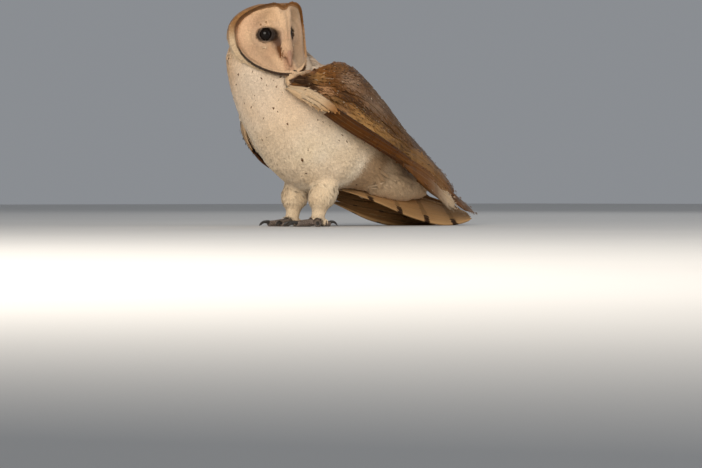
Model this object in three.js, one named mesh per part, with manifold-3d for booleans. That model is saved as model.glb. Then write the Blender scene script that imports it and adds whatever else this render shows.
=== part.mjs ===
// A life-size barn owl standing on a flat floor, leaning forward with its head turned to its left.
// Millimetres, +Z up. The body faces -Y, its left side is +X, and the floor is z = 0.
// The outer surfaces are those of the plumage, out to the feather tips.
import * as THREE from "three";
import { mergeVertices } from "three/addons/utils/BufferGeometryUtils.js";
import Module from "manifold-3d";

const wasm = await Module();
wasm.setup();

// ---------------------------------------------------------------- driving dimensions
const GAP = 0.3; // clearance between two pieces that meet
const SIDES = [
  ["left", 1],
  ["right", -1],
];

// The middle of the bird's extent along x and y, which becomes the origin.
const MIDDLE = { x: 2.27, y: 1.75 };

// Stations along the trunk and neck, from inside the head to the rump: the section's middle,
// its half width, its reach up the back and down the breast, and the lean of the spine in degrees.
const BODY_STATIONS = [
  { x: -12, y: -116, z: 197, half: 22, back: 34, breast: 22, lean: 90 },
  { x: -8, y: -113, z: 177, half: 33, back: 52, breast: 36, lean: 84 },
  { x: -3, y: -103, z: 154, half: 42, back: 50, breast: 43, lean: 68 },
  { x: 0, y: -83, z: 128, half: 49, back: 52, breast: 52, lean: 54 },
  { x: 0, y: -58, z: 98, half: 50, back: 58, breast: 54, lean: 42 },
  { x: 0, y: -34, z: 80, half: 49, back: 58, breast: 51, lean: 33 },
  { x: 0, y: 0, z: 68, half: 42, back: 46, breast: 34, lean: 26 },
  { x: 0, y: 34, z: 54, half: 32, back: 30, breast: 25, lean: 24 },
  { x: 0, y: 65, z: 41, half: 22, back: 18, breast: 15, lean: 22 },
  { x: 0, y: 94, z: 39, half: 17, back: 11, breast: 7, lean: 20 },
];
const BODY_RINGS = 18;
const BODY_SEGMENTS = 20;
const SECTION_FULLNESS = 2.3; // exponent of the section's outline; 2 is an ellipse
const NECK_CUT = 0.267; // share along the body where the neck ends and the trunk starts

// Head, in its own frame: eye level at z = 0, face towards -y.
const HEAD = {
  at: [24, -115.5, 196],
  turn: 88, // degrees to its left
  roll: -5, // degrees about its facing direction; its chin swings to its left
  disc_half: 41.3,
  disc_top: 28.5,
  disc_bottom: 40.5,
  square_top: 2.6, // exponents of the disc's outline; 2 is an ellipse
  square_bottom: 2.3,
  notch: 4.5, // dip of the heart's outline at the top
  notch_half: 6,
  back_at: 54, // y of the back of the head
  crown: 0.3, // how far the dome rises past the rim, and swells at its sides
  cheek: 0.12,
  corner_round: 0.25, // how much rounder the dome is than the disc
};
// The face: a raised rim that bends back at the sides, and a broad ridge between two dishes.
const FACE = {
  rim_at: -15,
  rim_sweep: 31,
  rim_bend: 2.2,
  rim_lean: 0.15, // how far the rim leans back with height
  ridge_at: -15.5,
  ridge_half: 8,
  ridge_round: 3.2, // how far the ridge falls from its crest to its shoulders
  wall: [7, 13.5], // from the shoulders of the ridge to the floor of the dish
  wall_depth: 11,
  dish_from: 12,
  dish_sweep: 18.5,
  chin: { z: -28, high: 8, half: 9, depth: 5 }, // hollow under the bill
  rim_from: 0.5, // share of the way out where the dish starts to rise to its rim
};
const FACE_COLUMNS = [41.3, 40.2, 36, 29, 21, 13.5, 8, 3]; // x of the face's points, from its side
const FACE_SHARES = [0, 0.3, 0.58, 0.8, 1]; // of the height at each column, from eye level to the rim
const DOME_RINGS = 5;

const EYE = { x: 11.85, y: 6.5, z: -0.5, radius: 8 };
const BILL = { length: 27, width: 9.5, depth: 9, root: [0, -9, -13], bend: [33, 89] };

// Folded wings: the curves of each one's upper and lower edges, from the wrist to its hind end,
// written for the left side. Its long feathers are rooted across it, as shares of the way from its
// upper edge to its lower edge. The right wing hangs lower.
const WINGS = {
  left: {
    upper: [[41, -116, 156], [27, -70, 161], [15, -25, 172], [9, 12, 143], [6, 45, 110], [7, 80, 80]],
    lower: [[44, -122, 143], [58, -96, 128], [62, -62, 109], [60, -16, 88], [54, 26, 69], [42, 66, 49]],
    secondaries: { across: [0.04, 1.3], tips: [[14, 112, 56], [28, 119, 36], [41, 101, 17]] },
    primaries: { across: [0.4, 0.94], tips: [[18, 161, 13], [30, 134, 14]] },
  },
  right: {
    upper: [[32, -112, 150], [27, -70, 154], [17, -26, 158], [11, 10, 134], [8, 45, 101], [8, 80, 70]],
    lower: [[38, -112, 118], [50, -92, 93], [57, -62, 70], [57, -16, 56], [50, 26, 47], [40, 66, 38]],
    secondaries: { across: [0.04, 0.97], tips: [[14, 103, 56], [30, 114, 42], [38, 106, 28]] },
    primaries: { across: [0.4, 0.94], tips: [[24, 150, 14], [34, 130, 16]] },
  },
};
const EDGE_RADII = [5.5, 6.5, 5.5, 3.5, 2.2]; // of the thick leading edge, from the wrist to the rear
const WING_BULGE = 17;
const WING_THICK = 24;
const WING_RINGS = 12;
const WING_ARC = 6;

// Fans of long feathers: each is a sheet of overlapping vanes between a line of roots and a line of
// tips. Those of a wing are rooted between two shares of its length, and bow outwards.
const LONG_FEATHERS = {
  secondaries: { count: 6, thick: 2.2, step: 1.2, scallop: 0.07, rooted: [0.66, 0.78], root_out: 7, bow: 6 },
  primaries: { count: 5, thick: 2, step: 1.2, scallop: 0.08, rooted: [0.84, 0.86], root_out: -5, bow: -3 },
  tail: { count: 12, thick: 2, step: 1, scallop: 0.06 },
};
const FAN_ROWS = 4;
const FAN_TAPER = 0.55; // thickness at the tips, as a share of that at the roots
const FAN_MARGIN = 0.006;
const VANE_COLUMNS = [0.04, 0.5, 0.96];

// The tail is folded like a tent: its halves slope down from the middle, and it rolls to its right.
const TAIL = {
  root: [0, -27, 45],
  tip: [0, 160, 14],
  half: [14, 18, 21, 24, 24],
  tent: [20, 31, 36, 32, 12],
  roll: [30, 24, 12, 6, 4], // degrees
  sag: -6,
};

const LEG = {
  top: [20, -44, 62],
  knee: [22, -55, 38],
  ankle: [21, -62, 9],
  top_radius: 17,
  knee_radius: 12,
  ankle_radius: 6,
};
const TOES = [
  // angle from straight ahead, length of the toe, claw length
  { name: "inner", angle: -24, length: 26, claw: 14 },
  { name: "middle", angle: 4, length: 30, claw: 15 },
  { name: "outer", angle: 50, length: 24, claw: 13 },
  { name: "hind", angle: 170, length: 14, claw: 12 },
];
const TOE_RADIUS = 4.4;
const CLAW_RADIUS = 2.1;

// The look of each kind of surface, as settings of a standard material.
const SURFACES = {
  white: { color: 0xe6d8c4, roughness: 0.9 },
  gold: { color: 0xa97a45, roughness: 0.85 },
  face: { color: 0xe9d9c5, roughness: 0.9 },
  vane: { color: 0xb5905f, roughness: 0.7 },
  eye: { color: 0x060505, roughness: 0.08 },
  bill: { color: 0xd9c3ab, roughness: 0.45 },
  foot: { color: 0x6f6259, roughness: 0.7 },
  claw: { color: 0x1d1a18, roughness: 0.4 },
};

// ---------------------------------------------------------------- shape helpers
const V = (...p) => new THREE.Vector3(...p);
const UP = V(0, 0, 1);
const radians = THREE.MathUtils.degToRad;
const { lerp, smoothstep, clamp } = THREE.MathUtils;
const signedPower = (x, e) => Math.sign(x) * Math.abs(x) ** e;

// A smooth curve of numbers through equal steps from 0 to 1.
function along(values) {
  const curve = new THREE.CatmullRomCurve3(values.map((v) => V(v, 0, 0)));
  return (t) => curve.getPoint(clamp(t, 0, 1)).x;
}

function curveThrough(points) {
  const curve = new THREE.CatmullRomCurve3(points.map((p) => V(...p)));
  return (t) => curve.getPoint(clamp(t, 0, 1));
}

// Triangles that close a ring from the point in its middle, which is added to the points.
function fromMiddle(points, first, n) {
  const middle = V();
  for (let j = 0; j < n; j++) middle.addScaledVector(points[first + j], 1 / n);
  const m = points.push(middle) - 1;
  return Array.from({ length: n }, (_, j) => [m, first + j, first + ((j + 1) % n)]);
}

// Triangles that close a ring that goes out along one side of a sheet and back along the other.
function acrossSheet(points, first, n) {
  const cells = Array.from({ length: n / 2 - 1 }, (_, j) => {
    const [a, b, c, d] = [j, j + 1, n - 2 - j, n - 1 - j].map((k) => first + k);
    return [[a, b, c], [a, c, d]];
  });
  return cells.flat();
}

// A surface through equal rings of points, closed at its end and its start.
function loft(rings, { closedStart = true, close = fromMiddle } = {}) {
  const n = rings[0].length;
  const points = rings.flat();
  const faces = [];
  for (let i = 0; i + 1 < rings.length; i++) {
    for (let j = 0; j < n; j++) {
      const a = i * n + j;
      const b = i * n + ((j + 1) % n);
      faces.push(a, b, b + n, a, b + n, a + n);
    }
  }
  const ends = [[(rings.length - 1) * n, false]];
  if (closedStart) ends.push([0, true]);
  for (const [first, flip] of ends)
    for (const [a, b, c] of close(points, first, n)) faces.push(a, ...(flip ? [c, b] : [b, c]));
  const geometry = new THREE.BufferGeometry().setFromPoints(points);
  geometry.setIndex(faces);
  return geometry;
}

function signedVolume(positions, faces) {
  const [a, b, c] = [V(), V(), V()];
  let sum = 0;
  for (let i = 0; i < faces.length; i += 3) {
    a.fromArray(positions, 3 * faces[i]);
    b.fromArray(positions, 3 * faces[i + 1]);
    c.fromArray(positions, 3 * faces[i + 2]);
    sum += a.dot(b.cross(c)) / 6;
  }
  return sum;
}

// The triangles that have three different corners.
function withoutSlivers(index) {
  const kept = [];
  for (let i = 0; i < index.length; i += 3) {
    const [a, b, c] = index.slice(i, i + 3);
    if (a !== b && b !== c && c !== a) kept.push(a, b, c);
  }
  return new Uint32Array(kept);
}

// A closed three.js geometry as a solid, with its faces turned outwards.
function solid(geometry) {
  const bare = geometry.clone();
  bare.deleteAttribute("normal");
  bare.deleteAttribute("uv");
  const merged = mergeVertices(bare, 1e-4);
  const vertProperties = merged.attributes.position.array;
  const triVerts = withoutSlivers(merged.index.array);
  if (signedVolume(vertProperties, triVerts) < 0) triVerts.reverse();
  return new wasm.Manifold(
    new wasm.Mesh({ numProp: 3, vertProperties: new Float32Array(vertProperties), triVerts }),
  );
}

const joined = (solids) => solids.reduce((a, b) => a.add(b));
const minus = (a, ...cutters) => cutters.reduce((left, c) => left.subtract(c), a);
const largest = (s) => s.decompose().reduce((a, b) => (b.volume() > a.volume() ? b : a));

function mirrored(geometry, side) {
  return side > 0 ? geometry : geometry.clone().applyMatrix4(new THREE.Matrix4().makeScale(-1, 1, 1));
}

const FLOOR = solid(new THREE.BoxGeometry(1200, 1200, 200).translate(0, 0, -100));

const root = new THREE.Group();
root.position.set(-MIDDLE.x, -MIDDLE.y, 0);

function place(name, made, surface) {
  const kept = largest(made.subtract(FLOOR));
  const { numProp, numVert, vertProperties, triVerts } = kept.getMesh();
  const positions = new Float32Array(numVert * 3);
  for (let i = 0; i < numVert; i++)
    positions.set(vertProperties.subarray(i * numProp, i * numProp + 3), i * 3);
  const geometry = new THREE.BufferGeometry();
  geometry.setAttribute("position", new THREE.BufferAttribute(positions, 3));
  geometry.setIndex(new THREE.BufferAttribute(triVerts, 1));
  geometry.computeVertexNormals();
  const mesh = new THREE.Mesh(geometry, new THREE.MeshStandardMaterial(surface));
  mesh.name = name;
  root.add(mesh);
}

// ---------------------------------------------------------------- trunk and neck
function bodySurface(grow = 0) {
  const of = {};
  for (const key of Object.keys(BODY_STATIONS[0])) of[key] = along(BODY_STATIONS.map((s) => s[key]));
  const rings = [];
  for (let i = 0; i <= BODY_RINGS; i++) {
    const t = i / BODY_RINGS;
    const lean = radians(of.lean(t));
    const toBack = V(0, Math.sin(lean), Math.cos(lean));
    const middle = V(of.x(t), of.y(t), of.z(t));
    const ring = [];
    for (let j = 0; j < BODY_SEGMENTS; j++) {
      const a = (2 * Math.PI * j) / BODY_SEGMENTS;
      const reach = Math.cos(a) > 0 ? of.back(t) : of.breast(t);
      const across = signedPower(Math.sin(a), 2 / SECTION_FULLNESS) * (of.half(t) + grow);
      const up = signedPower(Math.cos(a), 2 / SECTION_FULLNESS) * (reach + grow);
      ring.push(middle.clone().addScaledVector(toBack, up).add(V(across, 0, 0)));
    }
    rings.push(ring);
  }
  return loft(rings);
}

// A thin sheet across the body at a share of its length, which parts the neck from the trunk.
function bodyCut(t) {
  const of = (key) => along(BODY_STATIONS.map((s) => s[key]))(t);
  const sheet = new THREE.BoxGeometry(400, 400, GAP);
  sheet.rotateX(radians(90 - of("lean")));
  sheet.translate(0, of("y"), of("z"));
  return solid(sheet);
}

// ---------------------------------------------------------------- head
const notchAt = (x, z) => (z > 0 ? HEAD.notch * Math.exp(-((x / HEAD.notch_half) ** 2)) : 0);

// The heart-shaped outline of the face, from its right side over the top and back underneath.
function discOutline() {
  const columns = [...FACE_COLUMNS.map((x) => -x), ...FACE_COLUMNS.toReversed()];
  const edge = (x, sign) => {
    const high = sign > 0 ? HEAD.disc_top : HEAD.disc_bottom;
    const power = sign > 0 ? HEAD.square_top : HEAD.square_bottom;
    const height = high * (1 - (Math.abs(x) / HEAD.disc_half) ** power) ** (1 / power);
    return [x, sign * height - notchAt(x, sign)];
  };
  const top = columns.map((x) => edge(x, 1));
  const bottom = columns.slice(1, -1).toReversed().map((x) => edge(x, -1));
  return [...top, ...bottom];
}

// How far out a point of the face lies, as a share of the way to its outline.
function discShare(x, z) {
  const high = (z > 0 ? HEAD.disc_top : HEAD.disc_bottom) - notchAt(x, z);
  const power = z > 0 ? HEAD.square_top : HEAD.square_bottom;
  return (Math.abs(x / HEAD.disc_half) ** power + Math.abs(z / high) ** power) ** (1 / power);
}

// How far back the face lies at a point of its disc.
function faceDepth(x, z) {
  const out = Math.abs(x);
  const bend = (out / HEAD.disc_half) ** FACE.rim_bend;
  const rim = FACE.rim_at + FACE.rim_sweep * bend + FACE.rim_lean * Math.max(0, z);
  const shoulder = FACE.ridge_round * Math.min(1, out / FACE.ridge_half) ** 2;
  const wall = FACE.wall_depth * smoothstep(out, ...FACE.wall);
  const slope = Math.max(0, out - FACE.dish_from) / (HEAD.disc_half - FACE.dish_from);
  const { chin } = FACE;
  const hollow = chin.depth * Math.exp(-(((z - chin.z) / chin.high) ** 2) - (out / chin.half) ** 2);
  const floor = FACE.ridge_at + shoulder + wall + FACE.dish_sweep * slope + hollow;
  return lerp(floor, rim, smoothstep(discShare(x, z), FACE.rim_from, 1));
}

function headFrame() {
  return new THREE.Matrix4()
    .makeTranslation(...HEAD.at)
    .multiply(new THREE.Matrix4().makeRotationZ(radians(HEAD.turn)))
    .multiply(new THREE.Matrix4().makeRotationY(radians(HEAD.roll)));
}

// The face and the dome behind it. The upper and lower halves of the face meet at eye level.
function headSurface() {
  const edge = discOutline();
  const rings = FACE_SHARES.map((share) => edge.map(([x, z]) => V(x, faceDepth(x, z * share), z * share)));
  for (let i = 1; i < DOME_RINGS; i++) {
    const a = (Math.PI / 2) * (i / DOME_RINGS);
    const ring = edge.map(([x, z]) => {
      const high = z > 0 ? HEAD.disc_top : HEAD.disc_bottom;
      const corner = Math.abs((x / HEAD.disc_half) * (z / high));
      const rounding = 1 - HEAD.corner_round * corner * Math.sin(a);
      const swell = Math.cos(a) + (z > 0 ? HEAD.crown : HEAD.cheek) * Math.sin(2 * a);
      const wide = Math.cos(a) + HEAD.cheek * Math.sin(2 * a);
      const back = lerp(faceDepth(x, z), HEAD.back_at, Math.sin(a));
      return V(x * wide * rounding, back, z * swell * rounding);
    });
    rings.push(ring);
  }
  return loft(rings, { closedStart: false });
}

// The space in front of the face, which the throat stays out of.
function faceRoom() {
  const edge = discOutline();
  return loft([edge.map(([x, z]) => V(x, faceDepth(x, z) + 1, z)), edge.map(([x, z]) => V(x, -90, z))]);
}

function eyeball(side, grow = 0) {
  const ball = new THREE.SphereGeometry(EYE.radius + grow, 10, 7);
  return ball.translate(side * EYE.x, EYE.y, EYE.z);
}

// The bill bends down in an arc from its root; the lower mandible lies close under it.
function billSurface(scale, drop, grow = 0) {
  const rings = [];
  for (let i = 0; i <= 6; i++) {
    const t = i / 6;
    const bend = radians(lerp(...BILL.bend, t));
    const size = (1 - t) ** 0.6 * scale;
    const middle = V(
      0,
      BILL.root[1] - BILL.length * 0.26 * Math.sin(t * 1.5) * scale,
      BILL.root[2] - drop - BILL.length * (0.25 * t + 0.55 * t * t) * scale,
    );
    const front = V(0, -Math.sin(bend), Math.cos(bend));
    const ring = [];
    for (let j = 0; j < 8; j++) {
      const a = (2 * Math.PI * j) / 8;
      ring.push(
        middle
          .clone()
          .add(V(Math.sin(a) * ((BILL.width / 2) * size + 0.4 + grow), 0, 0))
          .addScaledVector(front, Math.cos(a) * ((BILL.depth / 2) * size + 0.4 + grow)),
      );
    }
    rings.push(ring);
  }
  return loft(rings);
}

// ---------------------------------------------------------------- wings and long feathers
// A crescent between the wing's upper and lower edges, swelling outwards.
function wingSurface(wing, grow = 0) {
  const upper = curveThrough(wing.upper);
  const lower = curveThrough(wing.lower);
  const rings = [];
  for (let i = 0; i <= WING_RINGS; i++) {
    const t = i / WING_RINGS;
    const top = upper(t);
    const low = lower(t);
    const tangent = upper(Math.min(1, t + 0.02)).sub(upper(Math.max(0, t - 0.02)));
    const down = low.clone().sub(top);
    const out = down.clone().cross(tangent).normalize();
    if (out.x < 0) out.negate();
    const ends = Math.sin(Math.PI * clamp(0.06 + 0.9 * t, 0, 1)) ** 0.5;
    const bulge = WING_BULGE * ends;
    const thick = lerp(WING_THICK * ends, 5, t ** 2);
    const outer = [];
    const inner = [];
    for (let j = 0; j <= WING_ARC; j++) {
      const v = lerp(-grow / 80, 1 + grow / 80, j / WING_ARC);
      const arch = Math.sin(Math.PI * clamp(v, 0, 1));
      const at = top.clone().addScaledVector(down, v);
      outer.push(at.clone().addScaledVector(out, bulge * arch ** 0.75 + grow + 0.6));
      inner.push(at.clone().addScaledVector(out, bulge * arch ** 0.75 - thick * arch ** 0.4 - grow - 0.6));
    }
    rings.push([...outer, ...inner.reverse()]);
  }
  return loft(rings);
}

// A sheet over base(s, t), its middle surface, where t runs from the roots to the tips. Each column
// has its place s, its lift off that surface and its reach along t, from a common start.
function sheet(base, columns, thick, start = 0, margin = 0) {
  const normalAt = (s, t) => {
    const e = 0.01;
    const du = base(s + e, t).sub(base(s - e, t));
    const dv = base(s, t + e).sub(base(s, t - e));
    return du.cross(dv).normalize();
  };
  const rings = [];
  for (let i = 0; i <= FAN_ROWS; i++) {
    const upper = [];
    const lower = [];
    for (const { s, lift, reach } of columns) {
      const t = lerp(start, reach, i / FAN_ROWS);
      const at = base(s, t);
      const n = normalAt(s, t);
      const half = (thick / 2) * lerp(1, FAN_TAPER, t) + margin;
      upper.push(at.clone().addScaledVector(n, lift + half));
      lower.push(at.clone().addScaledVector(n, lift - half));
    }
    rings.push([...upper, ...lower.reverse()]);
  }
  return loft(rings, { close: acrossSheet });
}

// Overlapping feathers: each vane slopes like a shingle and ends in a rounded tip.
function fan(base, { count, thick, step, scallop }) {
  const columns = [];
  for (let k = 0; k < count; k++)
    for (const w of VANE_COLUMNS)
      columns.push({ s: (k + w) / count, lift: step * (w - 0.5), reach: 1 - scallop * (2 * w - 1) ** 2 });
  return sheet(base, columns, thick);
}

// The room that such feathers need.
function fanRoom(base, { count, thick, step }) {
  const columns = Array.from({ length: count + 1 }, (_, k) => ({
    s: lerp(-FAN_MARGIN, 1 + FAN_MARGIN, k / count),
    lift: 0,
    reach: 1 + FAN_MARGIN,
  }));
  return sheet(base, columns, thick, -FAN_MARGIN, step / 2 + 2 * GAP);
}

// The rounded leading edge, from the wrist along the lower side of the wing.
function leadingEdge(wing, grow = 0) {
  const radius = along(EDGE_RADII);
  return tube(curveThrough(wing.lower), (t) => radius(t) + grow, 10, 8);
}

// The wing's long feathers, from its upper side to its lower side.
function wingFan(wing, kind, make) {
  const upper = curveThrough(wing.upper);
  const lower = curveThrough(wing.lower);
  const tips = curveThrough(wing[kind].tips);
  const feathers = LONG_FEATHERS[kind];
  const base = (s, t) => {
    const at = lerp(...feathers.rooted, s);
    const down = lerp(...wing[kind].across, s);
    const point = upper(at).lerp(lower(at), down);
    point.x += feathers.root_out * Math.sin(Math.PI * down);
    point.lerp(tips(s), t);
    point.x += feathers.bow * Math.sin(Math.PI * clamp(t, 0, 1));
    return point;
  };
  return make(base, feathers);
}

function tailFan(make) {
  const rootAt = V(...TAIL.root);
  const tipAt = V(...TAIL.tip);
  const [half, tent, roll] = [TAIL.half, TAIL.tent, TAIL.roll].map(along);
  const base = (s, t) => {
    const side = 2 * s - 1;
    const at = rootAt.clone().lerp(tipAt, t - 0.05 * t * side * side);
    at.z -= TAIL.sag * Math.sin(Math.PI * clamp(t, 0, 1));
    const x = half(t) * side;
    const z = -tent(t) * Math.abs(side) ** 1.4;
    const turn = radians(roll(t));
    at.x += x * Math.cos(turn) - z * Math.sin(turn);
    at.z += x * Math.sin(turn) + z * Math.cos(turn);
    return at;
  };
  return make(base, LONG_FEATHERS.tail);
}

// ---------------------------------------------------------------- legs and feet
function legSurface(side) {
  const line = curveThrough([LEG.top, LEG.knee, LEG.ankle]);
  const radius = along([LEG.top_radius, LEG.knee_radius, LEG.ankle_radius]);
  const rings = [];
  for (let i = 0; i <= 6; i++) {
    const t = i / 6;
    const at = line(t);
    const ring = [];
    for (let j = 0; j < 10; j++) {
      const a = (2 * Math.PI * j) / 10;
      ring.push(V(at.x + Math.cos(a) * radius(t), at.y + Math.sin(a) * radius(t) * 1.1, at.z));
    }
    rings.push(ring);
  }
  return mirrored(loft(rings), side);
}

// A round tube along a curve, with its radius at each share of the length.
function tube(curve, radius, steps, segments) {
  const rings = [];
  for (let i = 0; i <= steps; i++) {
    const t = i / steps;
    const at = curve(t);
    const forward = curve(Math.min(1, t + 0.02)).sub(curve(Math.max(0, t - 0.02))).normalize();
    const sideways = forward.clone().cross(UP).normalize();
    const up = sideways.clone().cross(forward);
    const ring = [];
    for (let j = 0; j < segments; j++) {
      const a = (2 * Math.PI * j) / segments;
      ring.push(
        at
          .clone()
          .addScaledVector(sideways, Math.cos(a) * radius(t))
          .addScaledVector(up, Math.sin(a) * radius(t)),
      );
    }
    rings.push(ring);
  }
  return loft(rings);
}

// One toe with its claw. The toe's underside dips below the floor, which then cuts it to a flat.
function toeParts(toe, side) {
  const angle = radians(toe.angle) * side;
  const ahead = V(Math.sin(angle), -Math.cos(angle), 0);
  const ankle = V(side * LEG.ankle[0], LEG.ankle[1], 0);
  const at = (distance, z) => ankle.clone().addScaledVector(ahead, distance).setZ(z).toArray();
  const tip = toe.length - 1.5;
  const toeCurve = curveThrough([
    at(0, 6.5),
    at(toe.length * 0.35, 4.1),
    at(toe.length * 0.7, 3.2),
    at(toe.length, 2.8),
  ]);
  const clawCurve = curveThrough([
    at(tip, 3.6),
    at(tip + toe.claw * 0.35, 5.2),
    at(tip + toe.claw * 0.7, 3.7),
    at(tip + toe.claw * 0.88, 0.8),
  ]);
  const knuckle = (t) => TOE_RADIUS * (1.05 - 0.28 * t) * (1 + 0.09 * Math.cos(t * 6 * Math.PI));
  const taper = (t) => CLAW_RADIUS * (1 - t) ** 0.7 + 0.3;
  return {
    toe: solid(tube(toeCurve, knuckle, 5, 6)),
    claw: solid(tube(clawCurve, taper, 4, 6)),
    clawRoom: solid(tube(clawCurve, (t) => taper(t) + GAP, 4, 6)),
  };
}

// ---------------------------------------------------------------- assembly
const frame = headFrame();
const inHead = (geometry) => solid(geometry.clone().applyMatrix4(frame));
const grownHead = inHead(
  headSurface().translate(0, -20, 0).scale(1.012, 1.012, 1.012).translate(0, 20, 0),
);
const eyes = SIDES.map(([, side]) => inHead(eyeball(side)));
const eyeRoom = SIDES.map(([, side]) => inHead(eyeball(side, GAP)));
const bills = [
  ["bill_upper", inHead(billSurface(1, 0)), inHead(billSurface(1, 0, GAP))],
  ["bill_lower", inHead(billSurface(0.8, 3.2)), inHead(billSurface(0.8, 3.2, GAP))],
];

place("head", minus(inHead(headSurface()), ...eyeRoom, ...bills.map((b) => b[2])), SURFACES.face);
SIDES.forEach(([name], i) => place("eye_" + name, eyes[i], SURFACES.eye));
place("bill_upper", bills[0][1], SURFACES.bill);
place("bill_lower", bills[1][1].subtract(bills[0][2]), SURFACES.bill);

const cutters = [];
const wingParts = {};
for (const [name, side] of SIDES) {
  const on = (geometry) => mirrored(geometry, side);
  const wing = WINGS[name];
  const arm = solid(on(wingSurface(wing))).add(solid(on(leadingEdge(wing))));
  const armRoom = solid(on(wingSurface(wing, GAP))).add(solid(on(leadingEdge(wing, GAP))));
  const secondaries = solid(on(wingFan(wing, "secondaries", fan)));
  const secondaryRoom = solid(on(wingFan(wing, "secondaries", fanRoom)));
  const primaries = solid(on(wingFan(wing, "primaries", fan)));
  const primaryRoom = solid(on(wingFan(wing, "primaries", fanRoom)));
  wingParts[name] = { arm, armRoom, secondaries, secondaryRoom, primaries, primaryRoom };
  cutters.push(armRoom, secondaryRoom, primaryRoom);
}
const tail = solid(tailFan(fan));
const tailRoom = solid(tailFan(fanRoom));

for (const [name, side] of SIDES) {
  const w = wingParts[name];
  const other = wingParts[name === "left" ? "right" : "left"];
  const first = side > 0 ? [] : [other.armRoom, other.secondaryRoom, other.primaryRoom];
  place("wing_" + name, minus(w.arm, grownHead, ...first), SURFACES.gold);
  place("secondaries_" + name, minus(w.secondaries, w.armRoom, ...first), SURFACES.vane);
  place("primaries_" + name, minus(w.primaries, w.armRoom, w.secondaryRoom, ...first), SURFACES.vane);
}
place("tail", minus(tail, ...cutters), SURFACES.vane);

const body = minus(solid(bodySurface()), grownHead, inHead(faceRoom()), ...cutters, tailRoom);
const parted = body.subtract(bodyCut(NECK_CUT)).decompose();
parted.sort((a, b) => b.volume() - a.volume());
place("trunk", parted[0], SURFACES.white);
place("neck", parted[1], SURFACES.white);

const bodyRoom = solid(bodySurface(GAP));
for (const [name, side] of SIDES) {
  const toes = TOES.map((toe) => ({ name: toe.name, ...toeParts(toe, side) }));
  const leg = solid(legSurface(side));
  const foot = joined(toes.map((t) => t.toe));
  const legGrown = solid(
    legSurface(side)
      .translate(-side * LEG.ankle[0], -LEG.ankle[1], 0)
      .scale(1.06, 1.06, 1.01)
      .translate(side * LEG.ankle[0], LEG.ankle[1], -GAP),
  );
  place("leg_" + name, leg.subtract(bodyRoom), SURFACES.white);
  place("foot_" + name, minus(foot, legGrown, ...toes.map((t) => t.clawRoom)), SURFACES.foot);
  for (const t of toes) place(`claw_${name}_${t.name}`, t.claw, SURFACES.claw);
}

export default root;
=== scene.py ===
"""A life-size barn owl: one skin over the flesh of the CAD solids, a coat of solid feathers, long
feathers, eyes, bill and claws. Metres, +Z up; the body faces -Y and the head looks to +X."""

import math

import bmesh
import bpy
import numpy as np
from mathutils import Matrix, Vector
from mathutils.bvhtree import BVHTree
from mathutils.kdtree import KDTree


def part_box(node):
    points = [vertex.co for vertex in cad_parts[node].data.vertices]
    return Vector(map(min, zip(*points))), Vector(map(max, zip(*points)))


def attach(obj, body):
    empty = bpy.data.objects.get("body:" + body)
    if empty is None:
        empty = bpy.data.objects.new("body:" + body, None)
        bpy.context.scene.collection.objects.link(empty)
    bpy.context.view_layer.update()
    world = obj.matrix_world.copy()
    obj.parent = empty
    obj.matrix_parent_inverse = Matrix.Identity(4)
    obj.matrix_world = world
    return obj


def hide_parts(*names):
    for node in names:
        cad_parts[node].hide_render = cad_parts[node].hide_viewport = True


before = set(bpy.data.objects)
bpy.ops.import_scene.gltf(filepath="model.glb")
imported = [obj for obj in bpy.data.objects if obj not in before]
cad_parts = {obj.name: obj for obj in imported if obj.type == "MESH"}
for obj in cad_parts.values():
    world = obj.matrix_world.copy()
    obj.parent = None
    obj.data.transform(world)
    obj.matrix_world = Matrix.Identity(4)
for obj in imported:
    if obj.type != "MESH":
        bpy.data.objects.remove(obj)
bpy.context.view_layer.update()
rng = np.random.default_rng(11)

MM = 0.001
PHOTO_AZIMUTH = math.radians(50)
SIDES = {"left": 1, "right": -1}

# ------------------------------------------------------------------ driving dimensions
FLESH = [
    "head", "neck", "trunk", "wing_left", "wing_right",
    "leg_left", "leg_right", "foot_left", "foot_right",
]
COAT = {"head": 2.6, "neck": 3.8, "trunk": 4.2, "wing": 2.6, "leg": 2.2, "foot": 0.15}  # depth, mm
SMOOTHING = {"head": 14, "neck": 34, "trunk": 40, "wing": 22, "leg": 10, "foot": 3}
SKIN_VOXEL = 1.5 * MM
JOINT_OVERLAP = 0.4 * MM  # how far the solids grow before they are joined

# The owl's middle in the solids' own drawing frame, and the wings' edges there, in mm.
MIDDLE = np.array([2.27, 1.75, 0.0])
WINGS = {
    "left": {
        "upper": [[41, -116, 156], [27, -70, 161], [15, -25, 172], [9, 12, 143], [6, 45, 110], [7, 80, 80]],
        "lower": [[44, -122, 143], [58, -96, 128], [62, -62, 109], [60, -16, 88], [54, 26, 69], [42, 66, 49]],
        "secondaries": {"across": [0.04, 1.3], "tips": [[14, 112, 56], [28, 119, 36], [41, 101, 17]]},
        "primaries": {"across": [0.4, 0.94], "tips": [[18, 161, 13], [30, 134, 14]]},
    },
    "right": {
        "upper": [[32, -112, 150], [27, -70, 154], [17, -26, 158], [11, 10, 134], [8, 45, 101], [8, 80, 70]],
        "lower": [[38, -112, 118], [50, -92, 93], [57, -62, 70], [57, -16, 56], [50, 26, 47], [40, 66, 38]],
        "secondaries": {"across": [0.04, 0.97], "tips": [[14, 103, 56], [30, 114, 42], [38, 106, 28]]},
        "primaries": {"across": [0.4, 0.94], "tips": [[24, 150, 14], [34, 130, 16]]},
    },
}
WING_BULGE = 17
WING_FRONT = 0.012  # the body's feathers cover a wing's blunt front end as far along it as this
BARE_OF_COVERTS = ((0.1, 0.5), (0.5, 0.17))  # nearer the wrist and higher than these, none is rooted
EDGE_RADII = [5.5, 6.5, 5.5, 3.5, 2.2]  # of a wing's thick leading edge, from the wrist to the rear
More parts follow.
